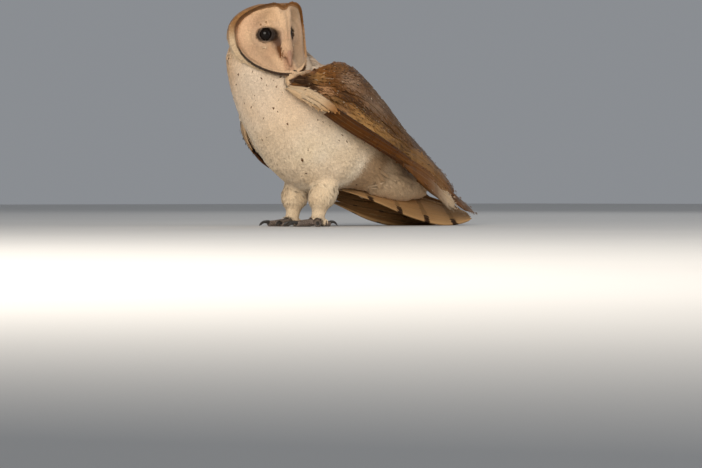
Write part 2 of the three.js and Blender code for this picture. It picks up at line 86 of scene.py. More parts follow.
LONG_FEATHERS = {
    "secondaries": {"count": 7, "rooted": [0.66, 0.78], "root_out": 7, "bow": 6, "half": 8.8},
    "primaries": {"count": 5, "rooted": [0.84, 0.86], "root_out": -5, "bow": -3, "half": 6.0},
}
# A broad pale feather, outermost at a wing's lower rear: how far out from the wing's corner and from
# the last secondary's tip it starts and ends.
PALE_FEATHER = {"root": [6, -16, 1], "tip": [6, 4, 4], "bow": [4, 0, 0], "half": 8.0}
TAIL = {
    "root": [0, -27, 45], "tip": [0, 160, 14], "half": [14, 18, 21, 24, 24],
    "tent": [20, 31, 36, 32, 12], "roll": [30, 24, 12, 6, 4], "sag": -6,
    "count": 12, "feather_half": 6.6, "squeeze": 0.88,
}

# The face, in the head's own frame: mm, x to the owl's left, -y forward, z up from the eyes.
DISC = {
    "half": 41.3, "top": 28.5, "bottom": 40.5, "notch": 4.5, "notch_half": 6.0,
    "upper_power": 2.6, "lower_power": 2.3,
}
EYE = {"x": 11.85, "y": 6.5, "z": -0.5, "radius": 8.0, "aperture": 6.0, "outward": 35}
SEAT_X = EYE["x"] + EYE["aperture"] * 0.5
BILL = {"length": 27, "width": 9.5, "depth": 9, "root": (-9, -13), "bend": (33, 89)}

# ------------------------------------------------------------------ colours, as seen (sRGB)
def linear(r, g, b):
    c = np.array([r, g, b], float) / 255
    return np.where(c <= 0.04045, c / 12.92, ((c + 0.055) / 1.055) ** 2.4)


CREAM = linear(230, 208, 176)
WHITE = linear(236, 218, 192)
WARM = linear(226, 190, 148)
FACE = linear(224, 186, 148)
FACE_PINK = linear(214, 168, 134)
GOLD = linear(162, 110, 58)
BUFF = linear(205, 160, 108)
GREY = linear(122, 98, 80)
UMBER = linear(122, 76, 32)
DARK = linear(66, 42, 22)
RUST = linear(104, 54, 14)
BLACK = linear(24, 17, 12)
OCHRE = linear(150, 108, 62)
BREAST = linear(228, 201, 176)
# painted shade: the colour of the shaded flank just behind the belly
SHADED = linear(162, 128, 92)
PINK = linear(186, 138, 108)
SLATE = linear(98, 76, 58)
PAINTED_HIGHLIGHT_TAN = linear(198, 146, 100)
# painted highlight: a light tan for where light catches a fold of the wing coverts
BRONZE = linear(150, 108, 60)
MAUVE = linear(106, 80, 62)
CINNAMON = linear(104, 58, 8)

# Where the colours of a folded wing lie: along it from the wrist and down it, as shares, how far
# each reaches both ways, its colour and its strength. A later one covers an earlier one.
WING_MARKS = (
    (0.66, 0.22, 0.28, 0.40, SLATE, 0.8),
    (0.33, 0.26, 0.07, 0.20, linear(124, 86, 50), 0.8),
    (0.39, 0.52, 0.06, 0.12, linear(160, 128, 100), 0.85),
    (0.62, 0.30, 0.13, 0.26, linear(128, 100, 74), 0.6),
    (0.54, 0.62, 0.10, 0.10, linear(150, 120, 94), 0.9),
    # painted shade: two thin dark lines in the valley between the swelling lobes of the coverts
    (0.43, 0.75, 0.10, 0.045, DARK, 0.8),
    (0.61, 0.78, 0.16, 0.03, DARK, 0.7),
    (0.56, 0.92, 0.18, 0.12, linear(190, 142, 84), 1.0),
    # painted highlight: light tan at the end of the fold of coverts
    (0.40, 0.95, 0.035, 0.07, PAINTED_HIGHLIGHT_TAN, 0.9),
    (0.82, 0.89, 0.12, 0.13, linear(156, 114, 64), 0.85),
    (0.98, 0.50, 0.09, 0.75, SLATE, 0.9),
    (0.15, 0.58, 0.08, 0.13, linear(160, 116, 66), 0.85),
    (0.33, 0.87, 0.05, 0.06, BRONZE, 0.9),
    (0.04, 0.66, 0.10, 0.25, DARK * 0.7, 1.0),
    (0.14, 0.83, 0.07, 0.09, DARK, 0.9),
    # painted highlight: light tan where light catches the fold of coverts
    (0.25, 0.80, 0.06, 0.08, PAINTED_HIGHLIGHT_TAN, 1.0),
    (0.19, 0.98, 0.10, 0.06, linear(112, 90, 84), 0.8),
    (0.66, 1.12, 0.33, 0.07, CINNAMON, 1.0),
    (0.00, 0.08, 0.10, 0.28, WARM, 1.0),
)
# Where its coverts swell into soft lobes: along, down, both reaches, and height in mm.
WING_LOBES = (
    (0.33, 0.30, 0.07, 0.15, 1.0),
    (0.39, 0.52, 0.06, 0.12, 2.0),
    (0.56, 0.52, 0.14, 0.20, 2.4),
    (0.56, 0.92, 0.18, 0.12, 2.6),
)


# ------------------------------------------------------------------ numbers
def smoothstep(x, low, high):
    t = np.clip((np.asarray(x, float) - low) / (high - low), 0, 1)
    return t * t * (3 - 2 * t)


def blend(a, b, share):
    return a * (1 - share) + b * share


def mix(a, b, share):
    """Colours blended, each by its own share."""
    return blend(np.asarray(a), np.asarray(b), np.asarray(share, float)[..., None])


def unit(v):
    return v / np.maximum(np.linalg.norm(v, axis=-1, keepdims=True), 1e-12)


def circle(count):
    """Angles at equal steps round a circle."""
    return np.linspace(0, 2 * math.pi, count, endpoint=False)


def spread(points):
    """A smooth curve through points at equal steps from 0 to 1, as a function of an array."""
    p = np.asarray(points, float).reshape(len(points), -1)
    padded = np.vstack([2 * p[0] - p[1], p, 2 * p[-1] - p[-2]])

    def at(t):
        t = np.clip(np.asarray(t, float), 0, 1) * (len(p) - 1)
        i = np.minimum(t.astype(int), len(p) - 2)
        f = (t - i)[..., None]
        a, b, c, d = padded[i], padded[i + 1], padded[i + 2], padded[i + 3]
        return 0.5 * (
            2 * b + (c - a) * f + (2 * a - 5 * b + 4 * c - d) * f**2 + (3 * b - a - 3 * c + d) * f**3
        )

    return at


def patches(points, size, seed=0):
    """Smooth noise from 0 to 1 over points, with lumps of about that size in metres."""
    p = np.asarray(points) / size
    i = np.floor(p).astype(np.int64)
    f = p - i
    f = f * f * (3 - 2 * f)
    total = 0
    for dx in (0, 1):
        for dy in (0, 1):
            for dz in (0, 1):
                key = (i[:, 0] + dx) * 73856093 ^ (i[:, 1] + dy) * 19349663 ^ (i[:, 2] + dz) * 83492791
                key = (key ^ seed * 2654435761) & 0x7FFFFFFF
                key = (key * 1103515245 + 12345) & 0x7FFFFFFF
                key = (key ^ (key >> 13)) * 1274126177 & 0x7FFFFFFF
                weight = (
                    np.where(dx, f[:, 0], 1 - f[:, 0])
                    * np.where(dy, f[:, 1], 1 - f[:, 1])
                    * np.where(dz, f[:, 2], 1 - f[:, 2])
                )
                total = total + weight * ((key >> 8) % 10007 / 10007)
    return total


# ------------------------------------------------------------------ meshes
def linked(name, data):
    """A new object of that data, in the scene."""
    obj = bpy.data.objects.new(name, data)
    bpy.context.scene.collection.objects.link(obj)
    return obj


def welded(node_name, name):
    """A copy of a solid's mesh with its triangles joined at their corners."""
    bm = bmesh.new()
    bm.from_mesh(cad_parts[node_name].data)
    bmesh.ops.remove_doubles(bm, verts=bm.verts, dist=1e-6)
    me = bpy.data.meshes.new(name)
    bm.to_mesh(me)
    bm.free()
    return me


def new_object(name, verts, faces):
    """A mesh object from arrays of vertices and of faces with equal numbers of corners."""
    faces = np.asarray(faces, np.int32)
    verts = np.array(verts, np.float32)
    verts[:, 2] = np.maximum(verts[:, 2], 0)  # nothing goes under the floor
    me = bpy.data.meshes.new(name)
    me.vertices.add(len(verts))
    me.vertices.foreach_set("co", verts.ravel())
    me.loops.add(faces.size)
    me.loops.foreach_set("vertex_index", faces.ravel())
    me.polygons.add(len(faces))
    me.polygons.foreach_set("loop_start", np.arange(0, faces.size, faces.shape[1], dtype=np.int32))
    me.update(calc_edges=True)
    me.polygons.foreach_set("use_smooth", np.ones(len(faces), bool))
    return linked(name, me)


def paint(obj, colours, name="Tint"):
    """Gives each vertex a colour, in a colour attribute of that name."""
    rgba = np.ones((len(obj.data.vertices), 4), np.float32)
    rgba[:, :3] = colours
    obj.data.color_attributes.new(name=name, type="FLOAT_COLOR", domain="POINT").data.foreach_set(
        "color", rgba.ravel()
    )


def map_uv(obj, name, uv):
    """A UV map from one place for each vertex."""
    corners = np.zeros(len(obj.data.loops), np.int32)
    obj.data.loops.foreach_get("vertex_index", corners)
    layer = obj.data.uv_layers.new(name=name)
    layer.data.foreach_set("uv", np.asarray(uv, np.float32)[corners].ravel())


def finish_piece(obj, material, slot, *nodes):
    """Gives a piece its material and body, and hides the solids that it replaces; slot is not used."""
    obj.data.materials.append(material)
    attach(obj, "root")
    if nodes:
        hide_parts(*nodes)
    return obj


def vertices_of(me):
    co = np.zeros(len(me.vertices) * 3)
    me.vertices.foreach_get("co", co)
    return co.reshape(-1, 3)


def triangles_of(me):
    me.calc_loop_triangles()
    tri = np.zeros(len(me.loop_triangles) * 3, np.int32)
    me.loop_triangles.foreach_get("vertices", tri)
    return tri.reshape(-1, 3)


def vertex_normals(verts, tris):
    n = np.cross(verts[tris[:, 1]] - verts[tris[:, 0]], verts[tris[:, 2]] - verts[tris[:, 0]])
    total = np.zeros_like(verts)
    for corner in range(3):
        for axis in range(3):
            total[:, axis] += np.bincount(tris[:, corner], n[:, axis], len(verts))
    return unit(total)


def ring_faces(rows, around):
    """Quads between equal rings of points."""
    i, j = np.meshgrid(np.arange(rows - 1), np.arange(around), indexing="ij")
    a = i * around + j
    b = i * around + (j + 1) % around
    return np.stack([a, b, b + around, a + around], -1).reshape(-1, 4)


def loft(name, rings):
    """A closed smooth surface through rings, drawn together to a point at each end."""
    rings = np.asarray(rings)
    count, around = rings.shape[:2]
    verts = np.vstack([rings.reshape(-1, 3), rings[0].mean(0), rings[-1].mean(0)])
    quads = ring_faces(count, around)
    first, last = count * around, count * around + 1
    j = np.arange(around)
    k = (j + 1) % around
    base = (count - 1) * around
    caps = np.vstack([
        np.stack([k, j, np.full(around, first)], -1),
        np.stack([base + j, base + k, np.full(around, last)], -1),
    ])
    tris = np.vstack([quads[:, [0, 1, 2]], quads[:, [0, 2, 3]], caps])
    return new_object(name, verts, tris)


# ------------------------------------------------------------------ the head's own frame
def centre(node):
    low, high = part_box(node)
    return np.array((low + high) / 2)


def head_frame():
    """The head's origin and axes, from where its eyes lie."""
    left, right = centre("eye_left"), centre("eye_right")
    across = unit(left - right)
    turn = math.atan2(across[1], across[0])
    roll = math.asin(-across[2])
    axes = np.array((Matrix.Rotation(turn, 3, "Z") @ Matrix.Rotation(roll, 3, "Y")).transposed())
    origin = (left + right) / 2 - np.array([0, EYE["y"], EYE["z"]]) * MM @ axes
    return origin, axes


HEAD_ORIGIN, HEAD_AXES = head_frame()


def to_head(points):
    """Points in the head's own frame, in mm."""
    return (np.asarray(points) - HEAD_ORIGIN) @ HEAD_AXES.T / MM


def from_head(points):
    """Points of the head's own frame as metres in the row's frame."""
    return np.asarray(points) * MM @ HEAD_AXES + HEAD_ORIGIN


def disc_notch(x):
    """How far the disc's outline dips at its top, over the bill."""
    return DISC["notch"] * np.exp(-((x / DISC["notch_half"]) ** 2))


def disc_share(x, z):
    """How far out a point of the face lies, as a share of the way to the disc's outline."""
    power = np.where(z > 0, DISC["upper_power"], DISC["lower_power"])
    high = np.where(z > 0, DISC["top"] - disc_notch(x), DISC["bottom"])
    wide, high = np.abs(x / DISC["half"]), np.abs(z / high)
    return (wide**power + high**power) ** (1 / power)


def disc_outline(a):
    """The outline of the face at angles from its top."""
    c, s = np.cos(a), np.sin(a)
    power = 2 / np.where(c > 0, DISC["upper_power"], DISC["lower_power"])
    x = DISC["half"] * np.sign(s) * np.abs(s) ** power
    dip = np.where(c > 0, disc_notch(x), 0)
    return x, np.where(c > 0, DISC["top"], DISC["bottom"]) * np.sign(c) * np.abs(c) ** power - dip


def face_depth(x, z):
    """How far back the face lies: a raised rim, and a broad ridge between two dishes."""
    out = np.abs(x)
    rim = -15 + 31 * (out / DISC["half"]) ** 2.2 + 0.15 * np.maximum(0, z)
    shoulder = 3.2 * np.minimum(1, out / 8) ** 2
    wall = 11 * smoothstep(out, 7, 13.5)
    slope = np.maximum(0, out - 12) / (DISC["half"] - 12)
    hollow = 5 * np.exp(-(((z + 28) / 8) ** 2) - (out / 9) ** 2)
    floor = -15.5 + shoulder + wall + 18.5 * slope + hollow
    depth = floor + (rim - floor) * smoothstep(disc_share(x, z), 0.5, 1.0)
    seat = EYE["y"] - 4.4 + (out - SEAT_X) * math.tan(math.radians(EYE["outward"]))
    away = np.hypot(out - SEAT_X, z - EYE["z"])
    return depth + (seat - depth) * (1 - smoothstep(away, 6.4, 9.4))


def on_disc(local):
    """How far out on the face points of the head's frame lie, and how far back it lies there."""
    x, _, z = local.T
    return disc_share(x, z), face_depth(x, z)


# ------------------------------------------------------------------ the skin
def flesh():
    """All flesh solids as one array, slightly grown so that they overlap, with each face's region."""
    verts, tris, owner = [], [], []
    start = 0
    for part in FLESH:
        me = welded(part, "scratch")
        v, t = vertices_of(me), triangles_of(me)
        bpy.data.meshes.remove(me)
        v = v + vertex_normals(v, t) * JOINT_OVERLAP
        verts.append(v)
        tris.append(t + start)
        owner += [part.split("_")[0]] * len(t)
        start += len(v)
    return np.vstack(verts), np.vstack(tris), np.array(owner)


def remeshed(verts, tris):
    """The outer surface of overlapping solids as one mesh of even cells."""
    obj = new_object("scratch", verts, tris)
    modifier = obj.modifiers.new("voxels", "REMESH")
    modifier.mode = "VOXEL"
    modifier.voxel_size = SKIN_VOXEL
    me = bpy.data.meshes.new_from_object(obj.evaluated_get(bpy.context.evaluated_depsgraph_get()))
    bpy.data.objects.remove(obj)
    return me


def neighbours(me):
    """The two vertices of each edge."""
    pairs = np.zeros(len(me.edges) * 2, np.int32)
    me.edges.foreach_get("vertices", pairs)
    return pairs.reshape(-1, 2)


def averaged(values, pairs, degree):
    """Each vertex's neighbours' mean of values."""
    out = np.empty_like(values)
    for axis in range(values.shape[1]):
        column = values[:, axis]
        total = np.bincount(pairs[:, 0], column[pairs[:, 1]], len(column))
        total += np.bincount(pairs[:, 1], column[pairs[:, 0]], len(column))
        out[:, axis] = total / degree
    return out


def make_skin():
    """The flesh joined, smoothed, drawn in by the depth of the coat, and hollowed for the face."""
    solid_verts, solid_tris, owner = flesh()
    me = remeshed(solid_verts, solid_tris)
    verts, pairs = vertices_of(me), neighbours(me)
    degree = np.maximum(np.bincount(pairs.ravel(), minlength=len(verts)), 1)
    near = BVHTree.FromPolygons(solid_verts.tolist(), solid_tris.tolist())
    region = owner[[near.find_nearest(v)[2] for v in verts.tolist()]]

    rounds = np.array([SMOOTHING[r] for r in region], float)[:, None]
    depth = np.array([COAT[r] for r in region], float)[:, None] * MM
    for _ in range(12):
        rounds = averaged(rounds, pairs, degree)
        depth = averaged(depth, pairs, degree)
    for i in range(int(rounds.max())):
        for factor in (0.55, -0.57):
            move = (averaged(verts, pairs, degree) - verts) * factor
            verts = verts + move * np.clip(rounds - i, 0, 1)
    tris = triangles_of(me)
    for i in range(3):
        verts = verts - vertex_normals(verts, tris) * depth / 3
        verts = verts + (averaged(verts, pairs, degree) - verts) * 0.3 * (depth > 1 * MM)

    local = to_head(verts)
    facing = (vertex_normals(verts, tris) @ HEAD_AXES.T)[:, 1]
    share, face = on_disc(local)
    on_face = (share < 1.0) & (facing < -0.05) & (region == "head")
    local[:, 1] = np.where(on_face, face + 0.9, local[:, 1])
    verts = np.where(on_face[:, None], from_head(local), verts)
    for _ in range(2):
        move = averaged(verts, pairs, degree) - verts
        verts = verts + move * 0.5 * (region == "head")[:, None]
    me.vertices.foreach_set("co", verts.astype(np.float32).ravel())
    me.update()
    me.name = "skin"
    me.polygons.foreach_set("use_smooth", np.ones(len(me.polygons), bool))
    return linked("skin", me), region


skin, skin_region = make_skin()
skin_verts = vertices_of(skin.data)
skin_tris = triangles_of(skin.data)
skin_normals = vertex_normals(skin_verts, skin_tris)
skin_tree = BVHTree.FromPolygons(skin_verts.tolist(), skin_tris.tolist())


def on_skin(points):
    """The nearest skin points, and the skin's smooth normals there."""
    places, normals = np.empty((len(points), 3)), np.empty((len(points), 3))
    faces = np.empty(len(points), int)
    for i, p in enumerate(points.tolist()):
        at, _, face, _ = skin_tree.find_nearest(p)
        places[i] = at
        faces[i] = face
    corner = skin_tris[faces]
    near = 1 / (np.linalg.norm(skin_verts[corner] - places[:, None], axis=2) + 1e-5)
    normals = unit((skin_normals[corner] * near[..., None]).sum(1))
    return places, normals


def settled(points, most):
    """Points over the skin, pressed down so that none stands higher than that over it."""
    flat = points.reshape(-1, 3)
    at, up = on_skin(flat)
    away = np.maximum(np.linalg.norm(flat - at, axis=-1), 1e-9)
    outside = ((flat - at) * up).sum(-1) > -0.6 * away
    share = np.where(outside, most * np.tanh(away / most) / away, 1.0)
    return (at + (flat - at) * share[:, None]).reshape(points.shape)


# ------------------------------------------------------------------ materials
def node(tree, kind, inputs=(), **settings):
    """A new shader node with its settings and its inputs, which are other sockets or plain values."""
    made = tree.nodes.new(kind)
    for key, value in settings.items():
        setattr(made, key, value)
    for key, value in dict(inputs).items():
        if isinstance(value, bpy.types.NodeSocket):
            tree.links.new(value, made.inputs[key])
        else:
            made.inputs[key].default_value = value
    return made


def ramp(tree, value, low, high, to_low, to_high):
    """A smooth step from one range to another."""
    inputs = {"Value": value, "From Min": low, "From Max": high, "To Min": to_low, "To Max": to_high}
    return node(tree, "ShaderNodeMapRange", inputs, interpolation_type="SMOOTHSTEP").outputs["Result"]


def maths(tree, operation, *values):
    return node(tree, "ShaderNodeMath", enumerate(values), operation=operation).outputs[0]


def mix_colour(tree, factor, a, b):
    """Two colours mixed by a factor. A colour is a socket or three numbers."""
    a, b = (v if isinstance(v, bpy.types.NodeSocket) else (*v, 1) for v in (a, b))
    return node(tree, "ShaderNodeMix", {0: factor, 6: a, 7: b}, data_type="RGBA").outputs[2]


def surface(name, roughness, **constants):
    """A new material, its tree, its shader and the object's own coordinates."""
    material = bpy.data.materials.new(name)
    material.use_nodes = True
    tree = material.node_tree
    shader = tree.nodes["Principled BSDF"]
    shader.inputs["Roughness"].default_value = roughness
    for key, value in constants.items():
        shader.inputs[key.replace("_", " ")].default_value = value
    return material, tree, shader, node(tree, "ShaderNodeTexCoord").outputs["Object"]


def noise(tree, place, scale, detail=3.0, roughness=0.55):
    inputs = {"Vector": place, "Scale": scale, "Detail": detail, "Roughness": roughness}
    return node(tree, "ShaderNodeTexNoise", inputs).outputs["Fac"]


def bump(tree, shader, height, strength, distance):
    inputs = {"Height": height, "Strength": strength, "Distance": distance}
    tree.links.new(node(tree, "ShaderNodeBump", inputs).outputs["Normal"], shader.inputs["Normal"])


def vertex_colour(tree, layer):
    return node(tree, "ShaderNodeVertexColor", layer_name=layer).outputs["Color"]


def shaded(tree, shader, colour, shade):
    """Gives a shader a colour times a shade."""
    scale = node(tree, "ShaderNodeVectorMath", {0: colour, "Scale": shade}, operation="SCALE")
    tree.links.new(scale.outputs[0], shader.inputs["Base Color"])


def vane_lines(tree, count):
    """The fine barbs of a vane, slanting out from its shaft; how far out from it; how far along it."""
    uv = node(tree, "ShaderNodeUVMap", uv_map="Vane").outputs["UV"]
    across, along, _ = node(tree, "ShaderNodeSeparateXYZ", {0: uv}).outputs
    out = maths(tree, "ABSOLUTE", maths(tree, "SUBTRACT", across, 0.5))
    slant = maths(tree, "SUBTRACT", along, maths(tree, "MULTIPLY", out, 0.55))
    return maths(tree, "SINE", maths(tree, "MULTIPLY", slant, count * 2 * math.pi)), out, along


def down_material():
    """Soft body feathers: the tint of each, darker at the root as painted shade, lighter to the tip, and
    flecked.
    """
    material, tree, shader, place = surface(
        "down", 0.82, Sheen_Weight=0.12, Sheen_Roughness=0.45, Specular_IOR_Level=0.12
    )
    lines, _, along = vane_lines(tree, 9)
    fleck = ramp(tree, noise(tree, place, 900, 2), 0.3, 0.7, 0.9, 1.1)
    # painted shade: each blade darker at its root, where it lies under the others
    shade = maths(tree, "MULTIPLY", ramp(tree, along, 0, 1, 0.86, 1.04), fleck)
    shaded(tree, shader, vertex_colour(tree, "Tint"), shade)
    bump(tree, shader, lines, 0.25, 0.0002)
    return material


BAR_STEP = 39.5  # mm from one dark bar to the next


def vane_material():
    """Long feathers and coverts: a pale shaft, barbs, dark bars, a fine pepper and a spot near the tip, with
    painted shade at the root and along the edges.
    """
    material, tree, shader, place = surface(
        "vane", 0.7, Sheen_Weight=0.03, Sheen_Roughness=0.4, Specular_IOR_Level=0.15
    )
    marks = node(tree, "ShaderNodeSeparateColor", {0: vertex_colour(tree, "Marks")})
    bars_on, pepper_on, spot_on = marks.outputs
    length = node(tree, "ShaderNodeAttribute", attribute_name="Reach").outputs["Fac"]
    lines, out, along = vane_lines(tree, 60)

    def times(a, b):
        return maths(tree, "MULTIPLY", a, b)

    def less(a, b):
        return maths(tree, "SUBTRACT", a, b)

    wobble = times(less(noise(tree, place, 420, 4, 0.65), 0.5), 8)
    phase = maths(tree, "MODULO", maths(tree, "ADD", length, wobble), BAR_STEP)
    near_bar = maths(tree, "ABSOLUTE", less(phase, BAR_STEP / 2))
    pepper = times(ramp(tree, noise(tree, place, 1500, 3, 0.7), 0.5, 0.66, 0, 0.75), pepper_on)
    clouds = ramp(tree, noise(tree, place, 160, 3), 0.35, 0.6, 0.35, 1)
    aside, ahead = times(out, 3.2), times(less(along, 0.86), 7.5)
    spot = maths(tree, "SQRT", maths(tree, "ADD", times(aside, aside), times(ahead, ahead)))

    colour = vertex_colour(tree, "Tint")
    for share, mark in (
        (times(ramp(tree, near_bar, 2.6, 4.4, 1, 0), bars_on), DARK * 0.9),
        (times(pepper, clouds), DARK * 1.15),
        (times(ramp(tree, spot, 0.55, 0.8, 1, 0), spot_on), BLACK * 1.6),
        (times(ramp(tree, spot, 0.2, 0.42, 1, 0), spot_on), CREAM * 0.8),
        (ramp(tree, out, 0.012, 0.04, 0.35, 0), BUFF * 0.6),
    ):
        colour = mix_colour(tree, share, colour, mark)
    # painted shade: darker along the blade's edges and towards its root
    edge = ramp(tree, out, 0.38, 0.5, 1, 0.88)
    shaded(tree, shader, colour, times(edge, ramp(tree, along, 0, 0.8, 0.8, 1.04)))
    bump(tree, shader, lines, 0.3, 0.0003)
    return material


def skin_material():
    """The surface between the feathers' roots."""
    material, tree, shader, place = surface("skin", 0.7)
    grain = noise(tree, place, 700, 4)
    shaded(tree, shader, vertex_colour(tree, "Tint"), ramp(tree, grain, 0.3, 0.7, 0.85, 1.08))
    bump(tree, shader, grain, 0.3, 0.0005)
    return material


def toe_material():
    """Grey-brown scaly skin of the toes."""
    material, tree, shader, place = surface("toe_skin", 0.55)
    cells = node(tree, "ShaderNodeTexVoronoi", {"Vector": place, "Scale": 620}, feature="DISTANCE_TO_EDGE")
    crack = ramp(tree, cells.outputs["Distance"], 0, 0.18, 0, 1)
    dark = np.array([0.12, 0.085, 0.065])
    colour = mix_colour(tree, noise(tree, place, 260, 4), dark, (0.34, 0.26, 0.21))
    tree.links.new(mix_colour(tree, crack, dark * 0.5, colour), shader.inputs["Base Color"])
    bump(tree, shader, crack, 0.6, 0.0004)
    return material


def grained(name, dark, light, roughness=0.35, shine=0.5, scale=300, detail=5, relief=0.15):
    """A surface mottled between two colours."""
    material, tree, shader, place = surface(name, roughness, Specular_IOR_Level=shine)
    grain = noise(tree, place, scale, detail)
    tree.links.new(mix_colour(tree, grain, dark, light), shader.inputs["Base Color"])
    if relief:
        bump(tree, shader, grain, relief, 0.0002)
    return material


# ------------------------------------------------------------------ the lie and colours of the coat
SPINE = np.array([centre("head"), centre("neck"), centre("trunk"), centre("tail")])


def body_flow(points):
    """The lie of the body feathers: along the spine, from the head to the tail."""
    steps = np.diff(SPINE, axis=0)
    middles = (SPINE[:-1] + SPINE[1:]) / 2
    away = np.linalg.norm(points[:, None] - middles, axis=2)
    weight = 1 / (away + 0.004) ** 3
    return unit((unit(steps)[None] * weight[..., None]).sum(1))


def head_flow(points):
    """Back over the crown and down the nape and cheeks."""
    local = to_head(points)
    back = np.tile([0.0, 1.0, 0.0], (len(points), 1))
    radial = np.stack([local[:, 0], np.zeros(len(points)), local[:, 2]], -1)
    down = np.array([0.0, 0.0, -1.0])
    share = smoothstep(local[:, 1], 5, 40)[:, None]
    lie = blend(back * 0.8 + unit(radial) * 0.35, back * 0.25 + down, share)
    return unit(lie) @ HEAD_AXES


def face_flow(points):
    """Out from each eye to the rim, and down the ridge to the bill."""
    local = to_head(points)
    side = np.sign(local[:, 0])
    out = np.stack(
        [local[:, 0] - side * (EYE["x"] + 2.5), np.zeros(len(points)), local[:, 2] - EYE["z"]], -1
    )
    ridge = np.stack([side * 0.5, np.zeros(len(points)), np.full(len(points), -1.0)], -1)
    share = smoothstep(np.abs(local[:, 0]), 4.0, 8.5)[:, None]
    return unit(blend(ridge, unit(out), share)) @ HEAD_AXES


def body_tint(points, normals):
    """Cream, pinker on the breast, gold on the sides of the neck and on the back; low behind the belly it is
    painted warmer and darker, partly its own warmer tone and partly painted shade.
    """
    x, y, z = points.T
    tint = mix(CREAM, WHITE, patches(points, 0.016, 3))
    tint = mix(tint, BREAST, smoothstep(z, 0.08, 0.13) * smoothstep(-y, 0.04, 0.09) * 0.5)
    tint = mix(tint, WARM, smoothstep(patches(points, 0.03, 5), 0.5, 0.85) * 0.3)
    nape = smoothstep(-x, -0.005, 0.03) * smoothstep(z, 0.125, 0.17)
    tint = mix(tint, BUFF, nape * 0.75)
    tint = mix(tint, GOLD, nape * smoothstep(patches(points, 0.01, 6), 0.4, 0.8) * 0.35)
    throat = np.exp(-(((z - 0.152) / 0.016) ** 2)) * smoothstep(normals[:, 0], -0.3, 0.6)
    tint = mix(tint, linear(205, 186, 164), throat * 0.6)
    # painted shade: behind the belly's edge the low flank and undertail are painted warmer and a little
    # darker, partly their own tone and partly painted shade, and a band just behind the edge darker still as
    # painted shade in the recess there
    behind = y + 0.054 - 0.68 * (z - 0.037)
    hollow = smoothstep(behind, -0.004, 0.012) * (1 - smoothstep(behind, 0.03, 0.05))
    low = 1 - smoothstep(z, 0.075, 0.095)
    tint = mix(tint, WARM * 0.85, smoothstep(behind, 0.0, 0.03) * low * 0.7)
    tint = mix(tint, SHADED, hollow * low * 0.85)
    mottle = mix(mix(GOLD, UMBER, 0.45), GREY, smoothstep(patches(points, 0.004, 8), 0.2, 0.9) * 0.8)
    ragged = 0.02 * (patches(points, 0.008, 15) - 0.5)
    above = smoothstep(normals[:, 2], 0.0, 0.7) * smoothstep(z, 0.05, 0.08)
    return mix(tint, mottle, above * smoothstep(y + ragged, -0.09, -0.05))


def head_tint(points):
    """The gold band round the disc, paler down the cheeks and grey over the crown."""
    local = to_head(points)
    x, y, z = local.T
    top = smoothstep(z, -6, 18)
    near_rim = 1 - smoothstep(disc_share(x, z), 1.0, 1.25) * smoothstep(y, 14, 24)
    tint = mix(CREAM, BUFF, 0.35 + 0.5 * top)
    tint = mix(tint, GOLD * 0.75, top * (0.35 + 0.5 * near_rim))
    tint = mix(tint, UMBER, top * near_rim * smoothstep(patches(points, 0.004, 4), 0.35, 0.75) * 0.45)
    pepper = smoothstep(patches(points, 0.003, 14), 0.45, 0.7)
    return mix(tint, GREY, smoothstep(y, 14, 36) * top * (0.25 + 0.5 * pepper))


def face_tint(points):
    """Pinkish cream, with a dark mark from the inner corner of each eye down towards the bill."""
    local = to_head(points)
    x, z = np.abs(local[:, 0]), local[:, 2]
    tint = mix(FACE, FACE_PINK, smoothstep(patches(points, 0.012, 9), 0.3, 0.8) * 0.45)
    tint = mix(tint, BUFF, 0.3 * smoothstep(z, 8, 27) * smoothstep(x, 5, 14))
    # painted shade: the face darker below the eyes and out towards the cheeks
    tint = tint * (1 - 0.22 * smoothstep(-z, -4, 14) * smoothstep(x, 6, 14))[:, None]
    band = smoothstep(disc_share(x, z), 0.84, 0.93) * smoothstep(z, 0, 12) * smoothstep(x, 6, 12)
    tint = mix(tint, mix(GOLD, BUFF, 0.3), 0.75 * band)
    along = np.clip((-1 - z) / 24, 0, 1)
    mark = np.exp(-(((x - 9.6 + 2.6 * along) / (3.0 - 2.1 * along)) ** 2))
    mark = mark * smoothstep(z, -30, -20) * smoothstep(-z, -4.0, 0) * (1 - 0.35 * along)
    tint = mix(tint, mix(DARK * 0.5, RUST * 1.2, along), np.clip(mark * 1.5, 0, 0.95))
    around = np.hypot((x - SEAT_X) / 1.1, z - EYE["z"])
    corner = np.hypot((x - SEAT_X - 6.0) / 2.6, z - EYE["z"])
    dark = np.maximum(1 - smoothstep(around, 6.6, 8.0), 1 - smoothstep(corner, 0.6, 1.5))
    tint = mix(tint, DARK * 0.4, 0.97 * dark)
    beak = (1 - smoothstep(x, 2.5, 6.5)) * smoothstep(-z, 15, 22)
    return mix(tint, PINK, 0.6 * beak)


# ------------------------------------------------------------------ small feathers
def region_faces(chosen):
    """The skin triangles whose corners all lie in the chosen vertices."""
    return skin_tris[chosen[skin_tris].all(1)]


def unwrapped(tris):
    """An unwrap of part of the skin: a place for each corner of each triangle."""
    used, index = np.unique(tris, return_inverse=True)
    obj = new_object("scratch", skin_verts[used], index.reshape(-1, 3))
    bpy.context.view_layer.objects.active = obj
    for other in bpy.context.selected_objects:
        other.select_set(False)
    obj.select_set(True)
    bpy.ops.object.mode_set(mode="EDIT")
    bpy.ops.mesh.select_all(action="SELECT")
    bpy.ops.uv.smart_project(angle_limit=math.radians(66), island_margin=0.004)
    bpy.ops.object.mode_set(mode="OBJECT")
    uv = np.zeros(len(obj.data.loops) * 2)
    obj.data.uv_layers.active.data.foreach_get("uv", uv)
    bpy.data.objects.remove(obj)
    return uv.reshape(-1, 3, 2)


